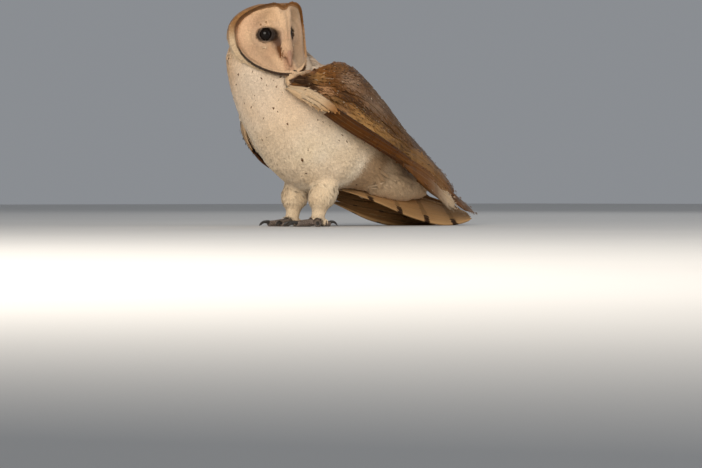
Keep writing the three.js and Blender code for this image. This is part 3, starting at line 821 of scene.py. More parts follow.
def sprinkle(tris, count):
    """Roots spread evenly over skin triangles: places, smooth normals and places on the unwrap."""
    corners = skin_verts[tris]
    area = np.linalg.norm(np.cross(corners[:, 1] - corners[:, 0], corners[:, 2] - corners[:, 0]), axis=1)
    total = np.cumsum(area)
    picks = (np.arange(count) + rng.random(count)) / count * total[-1]
    face = np.minimum(np.searchsorted(total, picks), len(tris) - 1)
    a, b = rng.random(count), rng.random(count)
    flip = a + b > 1
    a, b = np.where(flip, 1 - a, a), np.where(flip, 1 - b, b)
    share = np.stack([1 - a - b, a, b], -1)[..., None]
    uv = (unwrapped(tris)[face] * share).sum(1)
    places = (corners[face] * share).sum(1)
    normals = unit((skin_normals[tris[face]] * share).sum(1))
    return places, normals, uv


# The eight corners of a small feather lie across and along it, joined by these triangles.
VANE_TRIS = np.array([
    [0, 3, 2], [0, 2, 1], [2, 3, 6], [2, 6, 5], [1, 2, 5], [1, 5, 4],
    [5, 6, 7], [4, 5, 7], [0, 1, 3], [1, 4, 6], [1, 6, 3], [4, 7, 6],
])
VANE_ACROSS = np.array([0, -1, 0, 1, -1, 0, 1, 0])
VANE_ALONG = np.array([0, 1, 1, 1, 2, 2, 2, 3])
VANE_SHARES = np.array([0, 0.4, 0.78, 1])  # how far along a small feather its rows of corners lie
BAKE_PATCH = 0.003
SOFTNESS = 0.8  # how much a small feather's blade is lit like the body under it
TINT_VARIES = 0.035


def vanes(name, material, slot, spine, ups, lie, uv, tint, width):
    """Small feathers from their spines (4 x count x 3): thin closed blades, lit much like the body
    that they lie on."""
    count = spine.shape[1]
    verts, normals = np.empty((count, 8, 3)), np.empty((count, 8, 3))
    half, crown = np.array([0, 0.42, 0.5, 0]), np.array([0, 0.14, 0.12, 0])
    tilt = rng.normal(0, 0.12, (count, 2))
    for k in range(8):
        row, across = VANE_ALONG[k], VANE_ACROSS[k]
        side = unit(np.cross(lie, ups[row]))
        verts[:, k] = spine[row] + side * (across * half[row] * width)[:, None]
        if across == 0:
            verts[:, k] += ups[row] * (crown[row] * width)[:, None]
        turned = side * (tilt[:, :1] + 0.3 * across) + lie * (tilt[:, 1:] - 0.1)
        normals[:, k] = ups[row] + turned * (1.6 - SOFTNESS)
    faces = (VANE_TRIS[None] + (np.arange(count) * 8)[:, None, None]).reshape(-1, 3)
    obj = new_object(name, verts.reshape(-1, 3), faces)
    obj.data.normals_split_custom_set_from_vertices(unit(normals).reshape(-1, 3).tolist())
    colour = tint if tint.ndim == 3 else np.repeat(tint[:, None], 8, 1)
    paint(obj, np.clip(colour * rng.normal(1, TINT_VARIES, (count, 1, 1)), 0, 1).reshape(-1, 3))
    vane = np.stack([(VANE_ACROSS + 1) / 2, VANE_SHARES[VANE_ALONG]], -1)
    map_uv(obj, "Vane", np.tile(vane, (count, 1)))
    patch = (vane - 0.5) * BAKE_PATCH
    map_uv(obj, "OFBake", np.clip(uv[:, None] + patch[None], 0, 1).reshape(-1, 2))
    return finish_piece(obj, material, slot)


def lay(name, material, slot, roots, lie, tint, length, width, lift, jitter=0.2, tip=None):
    """Lays one small feather at each root, bent over the skin. tip gives some of them another tip."""
    places, normals, uv = roots
    count = len(places)
    turn = rng.normal(0, jitter, count)[:, None]
    across = unit(np.cross(lie, normals))
    lie = unit(np.cross(normals, across))
    lie = lie * np.cos(turn) + across * np.sin(turn)
    length, width, lift = (np.broadcast_to(v, count) * MM for v in (length, width, lift))
    length = length * rng.uniform(0.8, 1.2, count)
    lift = lift * rng.uniform(0.8, 1.1, count)
    spine, ups = [places - normals * 0.0004], [normals]
    for share, height in zip(VANE_SHARES[1:], (0.5, 0.9, 1.0)):
        at, up = on_skin(places + lie * (length * share)[:, None])
        spine.append(at + up * (lift * height)[:, None])
        ups.append(up)
    if tip is not None:
        marked, colour = tip
        tint = np.repeat(tint[:, None], 8, 1)
        tint[np.ix_(marked, np.arange(4, 8))] = np.broadcast_to(colour, (count, 3))[marked, None]
    return vanes(name, material, slot, np.array(spine), np.array(ups), lie, uv, tint, width)


FEWER = 1.0


def number(count):
    return int(count * FEWER)


def coat_body(down):
    """The small feathers of the neck, breast, belly, flanks and back, with a few dark dots."""
    is_body = np.isin(skin_region, ["neck", "trunk"])
    y, z = skin_verts[:, 1], skin_verts[:, 2]
    front, low = y < -0.006, z <= 0.092
    local = to_head(skin_verts)
    share, face = on_disc(local)
    by_disc = (share < 1.12) & (local[:, 1] < face + 4)
    # count, length, width and lift of the feathers of each part, in mm
    parts = {
        "coat_neck": (is_body & (z > 0.138) & ~by_disc, 14000, 9.0, 2.5, 3.4),
        "coat_breast": (is_body & (z <= 0.142) & (z > 0.092) & (y < -0.045), 14500, 10.0, 2.7, 3.8),
        "coat_belly": (is_body & (z <= 0.096) & (y < 0.0), 15000, 12.0, 2.9, 4.2),
        "coat_flank": (is_body & ~front & (z < 0.062 - y * 0.1), 9500, 24.0, 3.6, 7.5),
        "coat_back": (is_body & ~(low & front) & (y > -0.051) & (z > 0.054 - y * 0.1), 8000, 12.0, 3.6, 3.2),
    }
    for name, (chosen, count, length, width, lift) in parts.items():
        roots = sprinkle(region_faces(chosen), number(count))
        tint = body_tint(roots[0], roots[1])
        upper = smoothstep(roots[0][:, 2], 0.08, 0.13)
        marked = rng.random(len(tint)) < 0.003 + 0.009 * upper
        lay(
            name, down, "white_plumage", roots, body_flow(roots[0]), tint,
            length, width, lift, 0.15, (marked, DARK * 2),
        )


def coat_head(down):
    """Short feathers of the face, none rooted in the eye sockets, and longer ones of the crown."""
    local = to_head(skin_verts)
    share, depth = on_disc(local)
    is_head = skin_region == "head"
    on_face = is_head & (share < 0.99) & (local[:, 1] < depth + 3)
    face = sprinkle(region_faces(on_face), number(15500))
    spot = to_head(face[0])
    share, depth = on_disc(spot)
    away = np.hypot(np.abs(spot[:, 0]) - SEAT_X, spot[:, 2] - EYE["z"])
    sunken = spot[:, 1] - depth > 0.8
    keep = (away > EYE["aperture"] + 1.0) & ~(sunken & (away < 13))
    face = tuple(values[keep] for values in face)
    size = 1 + 0.9 * smoothstep(share[keep], 0.3, 0.9)
    size = size * (0.4 + 0.6 * smoothstep(away[keep], 7, 11))
    lay(
        "coat_face", down, "face_plumage", face, face_flow(face[0]), face_tint(face[0]),
        3.0 * size, 1.0, 0.8, 0.14,
    )
    crown = sprinkle(region_faces(is_head & ~on_face), number(12500))
    lay(
        "coat_crown", down, "gold_plumage", crown, head_flow(crown[0]),
        head_tint(crown[0]), 6.5, 2.2, 2.3, 0.15,
    )


# Rows of the ruff, from the face outwards: how far out, how far behind the rim, length, and how much
# each leans out and forward.
RUFF_ROWS = (
    (0.935, 0.2, 2.6, 0.86, 0.50),
    (0.975, 0.4, 4.0, 0.80, 0.60),
    (0.995, 2.2, 4.6, 0.62, -0.78),
    (1.000, 4.6, 6.0, 0.34, -0.94),
)
FORWARD = np.array([0.0, -1.0, 0.0])


def ruff(down):
    """Short stiff feathers round the disc, with a dark line along its lower edge; behind them the
    next rows lie back along the head."""
    each = number(900)
    spines, ups, lies, tints, uvs = [], [], [], [], []
    for row, (share, behind, length, out, forward) in enumerate(RUFF_ROWS):
        a = (np.arange(each) + rng.random(each)) / each * 2 * math.pi
        x, z = disc_outline(a)
        root = np.stack([x * share, face_depth(x, z) + behind, z * share], -1)
        radial = unit(np.stack([x, np.zeros(each), z], -1))
        lie = unit(radial * out + FORWARD * forward + rng.normal(0, 0.07, (each, 3)))
        facing = FORWARD + radial * 0.3 if forward > 0 else radial
        up = unit(np.cross(np.cross(lie, facing), lie))
        reach = length * rng.uniform(0.9, 1.1, each)[:, None]
        curl = radial * (0.7 if forward > 0 else -1.0) - FORWARD * 0.6
        spines.append([root + lie * reach * f + curl * f**2 for f in VANE_SHARES])
        ups.append([up] * 4)
        lies.append(lie)
        low = smoothstep(-z - 18 * (x > 0), 6, 18)
        top = smoothstep(z, 0, 14)
        base = mix(mix(FACE, WARM, 0.3), GOLD, top * 0.8)
        if row == 1:
            base = mix(mix(base, GOLD, 0.6), mix(GOLD, UMBER, 0.4), top * 0.9)
            base = mix(base, DARK * 0.8, low * 0.97)
        if row >= 2:
            base = head_tint(from_head(root))
        tints.append(base)
        uvs.append(np.stack([(a / (2 * math.pi)) * 0.99, np.full(each, 0.1 + 0.25 * row)], -1))
    spine = from_head(np.concatenate(spines, axis=1))
    up, lie = np.concatenate(ups, axis=1) @ HEAD_AXES, np.concatenate(lies) @ HEAD_AXES
    width = np.full(spine.shape[1], 1.6 * MM)
    uv, tint = np.concatenate(uvs), np.concatenate(tints)
    vanes("coat_ruff", down, "face_plumage", spine, up, lie, uv, tint, width)


def bristles(down):
    """Stiff narrow feathers that hang over the upper half of the bill from both sides."""
    count = number(1300)
    x = rng.normal(0, 2.4, count)
    z = rng.uniform(-19, -6, count)
    over_bill = np.interp(z, (-21.2, -13.8, -8.9), (-17.2, -15.1, -11.6)) + (x / 4.4) ** 2 * 4
    root = np.stack([x, np.minimum(face_depth(x, z) - 0.3, over_bill), z], -1)
    lie = np.stack([x * 0.03, -0.28 + 0.03 * np.abs(x), np.full(count, -1.0)], -1)
    lie = unit(lie + rng.normal(0, 0.05, (count, 3)))
    up = unit(np.stack([x * 0.15, np.full(count, -1.0), np.full(count, -0.1)], -1))
    reach = rng.uniform(4.5, 7.5, count)[:, None]
    bend = np.array([0, 1.4, 0])
    spine = np.array([root + lie * reach * f + bend * f**2 for f in VANE_SHARES])
    low = smoothstep(-z, 10, 20)
    tint = mix(FACE, PINK, 0.25 + 0.6 * low)
    tint = np.where((rng.random(count) < 0.25 * low)[:, None], UMBER, tint)
    uv = np.stack([0.5 + x / 40, 0.5 + z / 60], -1)
    ups = np.array([up @ HEAD_AXES] * 4)
    vanes(
        "coat_bristles", down, "face_plumage", from_head(spine), ups,
        lie @ HEAD_AXES, uv, tint, np.full(count, 0.9 * MM),
    )


def coat_legs(down):
    """Short close feathers on the legs, long and full at the thighs."""
    legs = sprinkle(region_faces(skin_region == "leg"), number(7000))
    lie = np.tile([0.0, 0.12, -1.0], (len(legs[0]), 1))
    thigh = smoothstep(legs[0][:, 2], 0.02, 0.045)
    tint = mix(CREAM, WARM, patches(legs[0], 0.01, 2) * 0.5)
    lay("coat_legs", down, "white_plumage", legs, lie, tint, 6 + 10 * thigh, 1.9, 1.8 + 4.5 * thigh, 0.25)


def wing_places(name):
    """A tree of points over a wing's outer face, to read where on the wing a point lies."""
    t, v = np.meshgrid(np.linspace(0, 1, 61), np.linspace(-0.05, 1.05, 34), indexing="ij")
    points = placed(wing_point(name, t.ravel(), v.ravel())[0], SIDES[name])
    tree = KDTree(len(points))
    for i, p in enumerate(points):
        tree.insert(p, i)
    tree.balance()
    return tree, t.ravel(), v.ravel()


def wing_cover(points, normals, name):
    """Where points of a wing's skin lie along and down it, their tint, and which are underneath."""
    tree, all_t, all_v = wing_places(name)
    index = [tree.find(p)[1] for p in points]
    t, v = all_t[index], all_v[index]
    beneath = smoothstep(-normals[:, 0] * SIDES[name], -0.1, 0.25) * smoothstep(v, 0.8, 0.95)
    low = smoothstep(-normals[:, 2], 0.35, 0.6) * smoothstep(v, 0.9, 1.0)
    beneath = np.clip(beneath + low, 0, 1)
    return t, v, mix(wing_tint(t, v), CREAM, beneath), beneath


def coat_wing(down, name):
    """Small close feathers all over a wing, under the coverts: speckled above and white beneath."""
    side = SIDES[name]
    is_wing = (skin_region == "wing") & (skin_verts[:, 0] * side > 0)
    roots = sprinkle(region_faces(is_wing), number(8500))
    t, v, tint, beneath = wing_cover(roots[0], roots[1], name)
    keep = t > WING_FRONT
    roots = tuple(values[keep] for values in roots)
    t, v, tint, beneath = t[keep], v[keep], tint[keep], beneath[keep]
    tint = tint * rng.uniform(0.75, 1.2, (len(t), 1))
    wrist = np.exp(-((t / 0.2) ** 2)) * smoothstep(v, 0.45, 0.6)
    pick = rng.random(len(t))
    marked = (pick < 0.10 * wrist) | (pick > 0.9 - 0.15 * wrist)
    speckle = np.where((pick < 0.5)[:, None], CREAM * 0.75, BLACK * 2)
    along = placed(wing_point(name, np.clip(t + 0.03, 0, 1), v)[0], side)
    lie = unit(along - placed(wing_point(name, np.clip(t - 0.03, 0, 1), v)[0], side))
    lay(
        f"coat_wing_{name}", down, "gold_plumage", roots, lie, tint,
        6.0, 2.1, 1.8, 0.14, (marked & (beneath < 0.3), speckle),
    )


# ------------------------------------------------------------------ long feathers
def placed(points, side=1):
    """Points of the drawing frame, in mm, as metres in the row's frame."""
    p = np.asarray(points, float) * [side, 1, 1]
    return (p - MIDDLE) * MM


SECTION = np.array([-1, -0.66, -0.33, 0, 0.33, 0.66, 1, 0.66, 0.33, 0, -0.33, -0.66])
SECTION_TOP = np.array([0, 1, 1, 1, 1, 1, 0, -1, -1, -1, -1, -1])
AROUND = len(SECTION)


class Plumes:
    """Gathers long feathers into one mesh, each with its own cell of the bake map, and the loose
    barbs at their edges into another."""

    def __init__(self, rows):
        self.rows = rows
        self.rings, self.tints, self.marks, self.reaches, self.barbs = [], [], [], [], []

    def add(
        self, line, ups, half, tint, marks=(0, 0, 0),
        camber=0.16, reach=0.0, point=0.35, thick=0.35, barbs=0, neck=0.25, most=None,
    ):
        """One feather along a line (rows x 3) with the given up directions, in metres."""
        v = np.linspace(0, 1, self.rows)
        forward = unit(np.gradient(line, axis=0))
        side = unit(np.cross(forward, ups))
        up = unit(np.cross(side, forward))
        body = neck + (1 - neck) * smoothstep(v, 0, 0.35)
        tip = np.sqrt(np.clip(1 - (np.clip(v - (1 - point), 0, 1) / point) ** 2.2, 0.0, 1))
        width = half * body * np.maximum(tip, 0.04)
        across = side[:, None] * (SECTION[None, :] * width[:, None])[..., None]
        bend = camber * (1 - SECTION**2)[None, :] * width[:, None]
        ridge = 0.4 * MM * np.exp(-((SECTION / 0.2) ** 2)) * (SECTION_TOP > 0)
        sheet = thick * MM * SECTION_TOP[None, :] * (1 - 0.5 * v)[:, None] + ridge[None, :] * (1 - v)[:, None]
        ring = line[:, None] + across + up[:, None] * (bend + sheet)[..., None]
        if most:
            ring = settled(ring, most)
        self.rings.append(ring)
        tint = np.broadcast_to(tint, (self.rows, AROUND, 3))
        self.tints.append(tint)
        self.marks.append(np.broadcast_to(marks, (self.rows, AROUND, 3)))
        length = np.linalg.norm(line[-1] - line[0]) / MM
        self.reaches.append(np.repeat((reach + v * length)[:, None], AROUND, 1))
        if barbs:
            row = rng.integers(int(self.rows * 0.3), self.rows, number(barbs) + 1)
            edge = rng.choice([-1.0, 1.0], len(row))[:, None]
            out = side[row] * edge
            root = line[row] + out * width[row, None] * rng.uniform(0.2, 0.9, (len(row), 1))
            root = root + up[row] * (camber * width[row, None] * 0.5 + (thick + 0.1) * MM)
            if most:
                root = settled(root, most + 0.3 * MM)
            lie = unit(forward[row] + out * rng.uniform(0.15, 0.6, (len(row), 1)))
            self.barbs.append((root, lie, up[row], tint[row, 3], np.full(len(row), len(self.rings) - 1)))

    def build(self, name, material, slot, *nodes):
        """Joins the gathered feathers into one piece."""
        rings = np.array(self.rings)
        count = len(rings)
        each = self.rows * AROUND
        ends = []
        for start, order in ((0, 1), (each - AROUND, -1)):
            for j in range(AROUND // 2 - 1):
                quad = [start + j, start + j + 1, start + AROUND - 2 - j, start + AROUND - 1 - j]
                ends.append(quad[::order])
        faces = np.vstack([ring_faces(self.rows, AROUND), ends])
        faces = (faces[None] + (np.arange(count) * each)[:, None, None]).reshape(-1, 4)
        obj = new_object(name, rings.reshape(-1, 3), faces)
        paint(obj, np.clip(np.array(self.tints), 0, 1).reshape(-1, 3))
        paint(obj, np.array(self.marks, float).reshape(-1, 3), "Marks")
        reach = obj.data.attributes.new("Reach", "FLOAT", "POINT")
        reach.data.foreach_set("value", np.array(self.reaches, np.float32).ravel())
        v = np.linspace(0, 1, self.rows)
        vane = np.stack(np.broadcast_arrays((SECTION[None] + 1) / 2, v[:, None]), -1)
        map_uv(obj, "Vane", np.tile(vane.reshape(-1, 2), (count, 1)))
        grid = math.ceil(math.sqrt(count))
        cell = np.stack([np.arange(count) % grid, np.arange(count) // grid], -1)
        under = (SECTION_TOP < 0).astype(float)
        flat = vane.copy()
        flat[..., 0] = 0.02 + 0.46 * vane[..., 0] + 0.5 * under[None]
        flat[..., 1] = 0.04 + 0.92 * vane[..., 1]
        bake = (cell[:, None] + flat.reshape(1, -1, 2)) / grid
        map_uv(obj, "OFBake", bake.reshape(-1, 2))
        return finish_piece(obj, material, slot, *nodes)

    def build_barbs(self, name, material, slot, length, width, flecked=0.07):
        """Short loose blades along the edges of the feathers, flecked dark and pale."""
        root, lie, up, tint, of = (np.concatenate(part) for part in zip(*self.barbs))
        grid = math.ceil(math.sqrt(len(self.rings)))
        uv = (np.stack([of % grid, of // grid], -1) + rng.random((len(of), 2)) * 0.9) / grid
        fleck = rng.random(len(of))
        shade = rng.uniform(0.75, 1.2, (len(of), 1))
        tint = np.where((fleck < flecked)[:, None], DARK * 0.8, tint * shade)
        tint = np.where((fleck > 0.98)[:, None], mix(tint, CREAM, np.full(len(of), 0.35)), tint)
        reach = length * MM * rng.uniform(0.7, 1.2, (len(of), 1))
        lift = up * 0.35 * MM
        spine = np.array([root + lie * reach * f + lift * h for f, h in zip(VANE_SHARES, (0, 1, 1, 0.4))])
        vanes(name, material, slot, spine, np.array([up] * 4), lie, uv, tint, np.full(len(of), width * MM))


def near(t, v, lobe):
    """How near places along and down a wing lie to the middle of one of its lobes, from 0 to 1."""
    return np.exp(-((((t - lobe[0]) / lobe[2]) ** 2 + ((v - lobe[1]) / lobe[3]) ** 2) ** 2))


def wing_point(name, t, v, proud=0.0):
    """A point of a folded wing's outer face, from its wrist to its rear (t) and down it (v), in mm."""
    upper, lower = spread(WINGS[name]["upper"]), spread(WINGS[name]["lower"])
    t, v = np.broadcast_arrays(np.asarray(t, float), np.asarray(v, float))
    top, low = upper(t), lower(t)
    tangent = upper(np.clip(t + 0.02, 0, 1)) - upper(np.clip(t - 0.02, 0, 1))
    out = unit(np.cross(low - top, tangent))
    out = out * np.sign(out[..., :1])
    ends = np.sin(np.pi * np.clip(0.06 + 0.9 * t, 0, 1)) ** 0.5
    arch = np.sin(np.pi * np.clip(v, 0, 1)) ** 0.75
    return top + (low - top) * v[..., None] + out * (WING_BULGE * ends * arch + proud)[..., None], out


def edge_point(name, t, angle, proud):
    """Points round a wing's leading edge, at angles down from straight out, in mm."""
    _, out = wing_point(name, t, np.ones_like(t))
    low = spread(WINGS[name]["lower"])(t)
    down = unit(low - spread(WINGS[name]["upper"])(t))
    angle = np.radians(angle)[:, None]
    way = out * np.cos(angle) + down * np.sin(angle)
    return low + way * (spread(EDGE_RADII)(t) + np.broadcast_to(proud, t.shape)[:, None]), way


def wing_tint(t, v):
    """The colour of a folded wing at places along and down it."""
    t, v = np.broadcast_arrays(np.asarray(t, float), np.asarray(v, float))
    tint = mix(UMBER, BRONZE, smoothstep(t, 0.3, 0.9) * 0.5)
    for mark in WING_MARKS:
        tint = mix(tint, mark[4], mark[5] * near(t, v, mark))
    return tint


def wing_feather_line(name, t, v, t_end, v_end, rows, sunk, proud, side):
    """The line of a covert over the wing, from its sunken root to its tip, and the way out from the
    wing along it."""
    s = np.linspace(0, 1, rows)
    t, v = t + (t_end - t) * s, v + (v_end - v) * s
    swell = sum(lobe[4] * near(t, v, lobe) for lobe in WING_LOBES)
    points, out = wing_point(name, t, v, sunk + (proud - sunk) * s + swell)
    return placed(points, side), out * [side, 1, 1]


def coverts(name, material, down):
    """Rows of overlapping coverts, small at the wrist and long at the rear, with loose edges."""
    side = SIDES[name]
    plumes = Plumes(rows=11)
    starts = np.linspace(0.02, 0.74, 19) ** 1.05
    for row in range(len(starts) - 1, -1, -1):
        t = starts[row]
        height = np.linalg.norm(wing_point(name, t, 1.0)[0] - wing_point(name, t, 0.0)[0])
        size = smoothstep(t, 0.08, 0.6)
        half = 3.8 + 4.8 * size
        across = max(3, int(height / (half * 0.95)))
        first, last = 0.85 * half / height, 1 - 0.1 * half / height
        for k in range(across):
            v = first + (last - first) * (k + 0.3 + 0.4 * (row % 2)) / across + rng.normal(0, 0.012)
            if any(t < along and v < above for along, above in BARE_OF_COVERTS):
                continue  # only small feathers lie at the neck and over the top edge
            start = t + rng.normal(0, 0.008)
            end = start + (0.06 + 0.11 * size) * rng.uniform(0.85, 1.15)
            line, out = wing_feather_line(
                name, start, v, end, v + 0.02 + rng.normal(0, 0.015), 11, -1.2, 0.6, side
            )
            run = np.linspace(start, end, 11)
            down_it = v + SECTION[None] * side * half / height * 0.9
            tint = wing_tint(run[:, None] + 0.2 * (end - start), down_it) * rng.uniform(0.86, 1.12)
            pepper = 0.3 + 0.7 * smoothstep(patches(line[-1:] + 0.5, 0.02, 21), 0.3, 0.7)[0]
            spot = float(rng.random() < 0.25) * smoothstep(t, 0.08, 0.25)
            plumes.add(
                line, out, half * MM * rng.uniform(0.9, 1.1), tint, (0, pepper, spot),
                0.12, 0, 0.5, 0.3, 34 if v > 0.18 else 0, 0.25, (1.2 + 1.6 * smoothstep(v, 0.1, 0.4)) * MM,
            )
    plumes.build(f"coverts_{name}", material, "gold_plumage")
    plumes.build_barbs(f"covert_barbs_{name}", down, "gold_plumage", 4.0, 1.1)


def wing_fan(name, kind, s, rows):
    """The line of one long feather of a wing, as the solids' fans run, in mm."""
    wing, fan = WINGS[name], LONG_FEATHERS[kind]
    at, share = blend(*fan["rooted"], s), blend(*wing[kind]["across"], s)
    root = blend(spread(wing["upper"])(at), spread(wing["lower"])(at), share)
    root = root + [fan["root_out"] * math.sin(math.pi * share), 0, 0]
    t = np.linspace(0, 1, rows)[:, None]
    bow = np.array([fan["bow"], 0, 0]) * np.sin(np.pi * t)
    return blend(root, spread(wing[kind]["tips"])(s), t) + bow


# The long feathers of each fan from the top down: colour at the root, colour at the tip.
FAN_TINTS = {
    "secondaries": (
        (SLATE, MAUVE), (SLATE, MAUVE), (MAUVE, linear(128, 100, 78)), (BRONZE, GREY),
        (BRONZE, UMBER), (UMBER, BRONZE), (UMBER, linear(214, 186, 152)),
    ),
    "primaries": ((UMBER, GREY), (UMBER, GREY), (CINNAMON, GREY), (CINNAMON, UMBER), (RUST, UMBER)),
}


def long_feathers(name, material, down):
    """A wing's secondaries and primaries, with loose barbs at their edges."""
    side = SIDES[name]
    rows = 17
    v = np.linspace(0, 1, rows)[:, None, None]
    for kind, piece in (("secondaries", "secondary"), ("primaries", "primary")):
        fan = LONG_FEATHERS[kind]
        plumes = Plumes(rows)
        for k, (root, tip) in enumerate(FAN_TINTS[kind]):
            s = (k + 0.5) / fan["count"]
            line = wing_fan(name, kind, s, rows)
            beside = wing_fan(name, kind, s + 0.08, rows)[rows // 2] - line[rows // 2]
            up = unit(np.cross(beside, line[12] - line[4]))
            up = up * np.sign(up[:1]) * [side, 1, 1]
            proud = 0.35 + 0.5 * k
            tint = blend(root, tip, smoothstep(v, 0.35, 0.95))
            plumes.add(
                placed(line, side) + up * proud * MM, np.tile(up, (rows, 1)),
                fan["half"] * (1.3 if kind == "secondaries" and s > 0.9 else 1) * MM, tint,
                (0.25, 0.55, 0.0), 0.14, 12 + 5 * k, 0.2, 0.4, 60,
            )
        if kind == "secondaries":
            share = np.linspace(0, 1, rows)[:, None]
            first = np.add(WINGS[name]["lower"][-1], PALE_FEATHER["root"])
            last = np.add(WINGS[name][kind]["tips"][-1], PALE_FEATHER["tip"])
            line = blend(first, last, share) + PALE_FEATHER["bow"] * np.sin(np.pi * share)
            up = unit(np.array([0.85 * side, -0.2, 0.45]))
            pale = smoothstep(share, 0.15, 0.8)[..., None]
            plumes.add(
                placed(line, side), np.tile(up, (rows, 1)), PALE_FEATHER["half"] * MM,
                blend(mix(UMBER, BRONZE, 0.4), linear(206, 178, 144), pale),
                (0, 0.5, 0), 0.2, 0, 0.22, 0.5, 60, 0.5,
            )
        plumes.build(f"plumes_{piece}_{name}", material, "flight_feather", f"{kind}_{name}")
        plumes.build_barbs(f"{piece}_barbs_{name}", down, "flight_feather", 5.0, 1.1)


def edge_band(name, material, down):
    """The feathers round the leading edge: a short cream alula, then long rusty primaries."""
    side = SIDES[name]
    rows = 17
    share = np.linspace(0, 1, rows)
    plumes = Plumes(rows)
    for start, end, first, last, proud, half, tint, tip, marks in (
        (0.28, 0.97, 92, 100, 1.2, 4.6, CINNAMON, BRONZE, (0.3, 0.5, 0)),
        (0.30, 0.95, 66, 74, 1.0, 4.8, CINNAMON * 0.9, UMBER, (0.3, 0.7, 0)),
        (0.27, 0.90, 38, 46, 0.6, 4.8, CINNAMON * 0.7, UMBER * 0.8, (0.4, 1.0, 0)),
        (0.00, 0.26, 74, 78, 1.2, 4.6, WARM, BUFF, (0, 0.1, 0)),
        (0.00, 0.30, 52, 58, 1.6, 4.8, mix(CREAM, WARM, 0.6) * 0.85, BUFF, (0, 0.08, 0)),
        (0.00, 0.335, 28, 34, 2.0, 4.8, mix(CREAM, WARM, 0.8) * 0.85, GOLD, (0, 0.2, 0)),
    ):
        t, angle = start + (end - start) * share, first + (last - first) * share
        sunk = 2.5 * (1 - smoothstep(share, 0.0, 0.2)) * (start == 0)
        points, way = edge_point(name, t, angle, proud - sunk)
        reach = smoothstep(share, 0.6, 1.0)[:, None, None]
        colour = blend(tint, tip, reach)
        plumes.add(
            placed(points, side), way * [side, 1, 1], half * MM, colour, marks,
            0.25, 0, 0.16, 0.4, 40, 0.8 if start > 0 else 0.3,
        )
    plumes.build(f"wing_edge_{name}", material, "flight_feather")
    plumes.build_barbs(f"wing_edge_barbs_{name}", down, "flight_feather", 3.0, 0.9, 0.02)


def tail_line(s, rows):
    """The line of a tail feather across the folded tail, in mm, and its across direction."""
    half, tent, roll = (spread(TAIL[key]) for key in ("half", "tent", "roll"))
    t = np.linspace(0, 1, rows)

    def at(s):
        side = 2 * s - 1
        run = t - 0.05 * t * side * side
        p = blend(np.array(TAIL["root"]), np.array(TAIL["tip"]), run[:, None])
        p[:, 2] -= TAIL["sag"] * np.sin(np.pi * t)
        x = half(t)[:, 0] * side
        z = -tent(t)[:, 0] * abs(side) ** 1.4
        turn = np.radians(roll(t)[:, 0])
        p[:, 0] += x * np.cos(turn) - z * np.sin(turn)
        p[:, 2] += x * np.sin(turn) + z * np.cos(turn)
        return p

    return at(s), at(min(1, s + 0.03)) - at(max(0, s - 0.03))


def tail_feathers(material):
    """Twelve feathers: barred above on the near half, plain and duller beneath, pale at their edge."""
    rows, count = 21, TAIL["count"]
    plumes = Plumes(rows)
    above = (SECTION_TOP >= 0)[None, :, None]
    for k in range(count):
        s = 0.5 + (k + 0.5 - count / 2) / count * TAIL["squeeze"]
        line, across = tail_line(s, rows)
        up = unit(np.cross(across, np.gradient(line, axis=0)))
        outer = abs(2 * s - 1)
        tint = mix(OCHRE, BUFF, 0.55 + 0.25 * outer)
        tint = np.where(above, tint, OCHRE * (0.55 + 0.6 * np.linspace(0, 1, rows))[:, None, None])
        if outer > 0.75:
            rim = smoothstep(SECTION * (1 if s > 0.5 else -1), 0.3, 0.7)[None, :, None]
            tint = blend(tint, BUFF, rim)
        marks = np.where(above, [1.0 if outer > 0.7 else 0.35, 0.25, 0.0], [0.0, 0.05, 0.0])
        lift = (0.9 - 1.2 * outer) * MM
        half = TAIL["feather_half"] * MM
        plumes.add(placed(line) + up * lift, up, half, tint, marks, 0.1, 24, 0.16, 0.4)
    plumes.build("plumes_tail", material, "flight_feather", "tail")


# ------------------------------------------------------------------ eyes, bill and claws
def eye_axis(side):
    a = math.radians(EYE["outward"])
    return np.array([side * math.sin(a), -math.cos(a), 0.0])


def eyes(material, lid_material):
    """The eyeballs, and a dark ring of lid round each."""
    for name, side in SIDES.items():
        middle = np.array([side * EYE["x"], EYE["y"], EYE["z"]])
        axis = eye_axis(side)
        right = unit(np.cross([0.0, 0, 1], axis))
        up = np.cross(axis, right)
        turn = circle(48)
        tilt = np.linspace(0.04, math.pi - 0.04, 26)
        ring = np.cos(turn)[:, None] * right + np.sin(turn)[:, None] * up
        rings = [middle + EYE["radius"] * (math.cos(a) * axis + math.sin(a) * ring) for a in tilt]
        ball = loft(f"eyeball_{name}", from_head(np.array(rings)))
        finish_piece(ball, material, "eye", f"eye_{name}")

        gap = EYE["aperture"]
        seat = middle + axis * (math.sqrt(EYE["radius"] ** 2 - gap**2) + 0.1)
        verts = []
        for a in turn:
            c, s = math.cos(a), math.sin(a)
            reach = gap * (1.0 + 0.05 * abs(c))
            thick = 0.75 + 0.35 * max(0, s)
            outwards = c * right + s * up
            for b in circle(10):
                verts.append(
                    seat + outwards * (reach + 0.5 + thick * math.cos(b)) + axis * thick * 0.8 * math.sin(b)
                )
        i, j = np.meshgrid(np.arange(48), np.arange(10), indexing="ij")
        k, m = (i + 1) % 48, (j + 1) % 10
        quads = np.stack([i * 10 + j, k * 10 + j, k * 10 + m, i * 10 + m], -1).reshape(-1, 4)
        lid = new_object(f"lid_{name}", from_head(np.array(verts)), quads)
        finish_piece(lid, lid_material, "foot_skin")


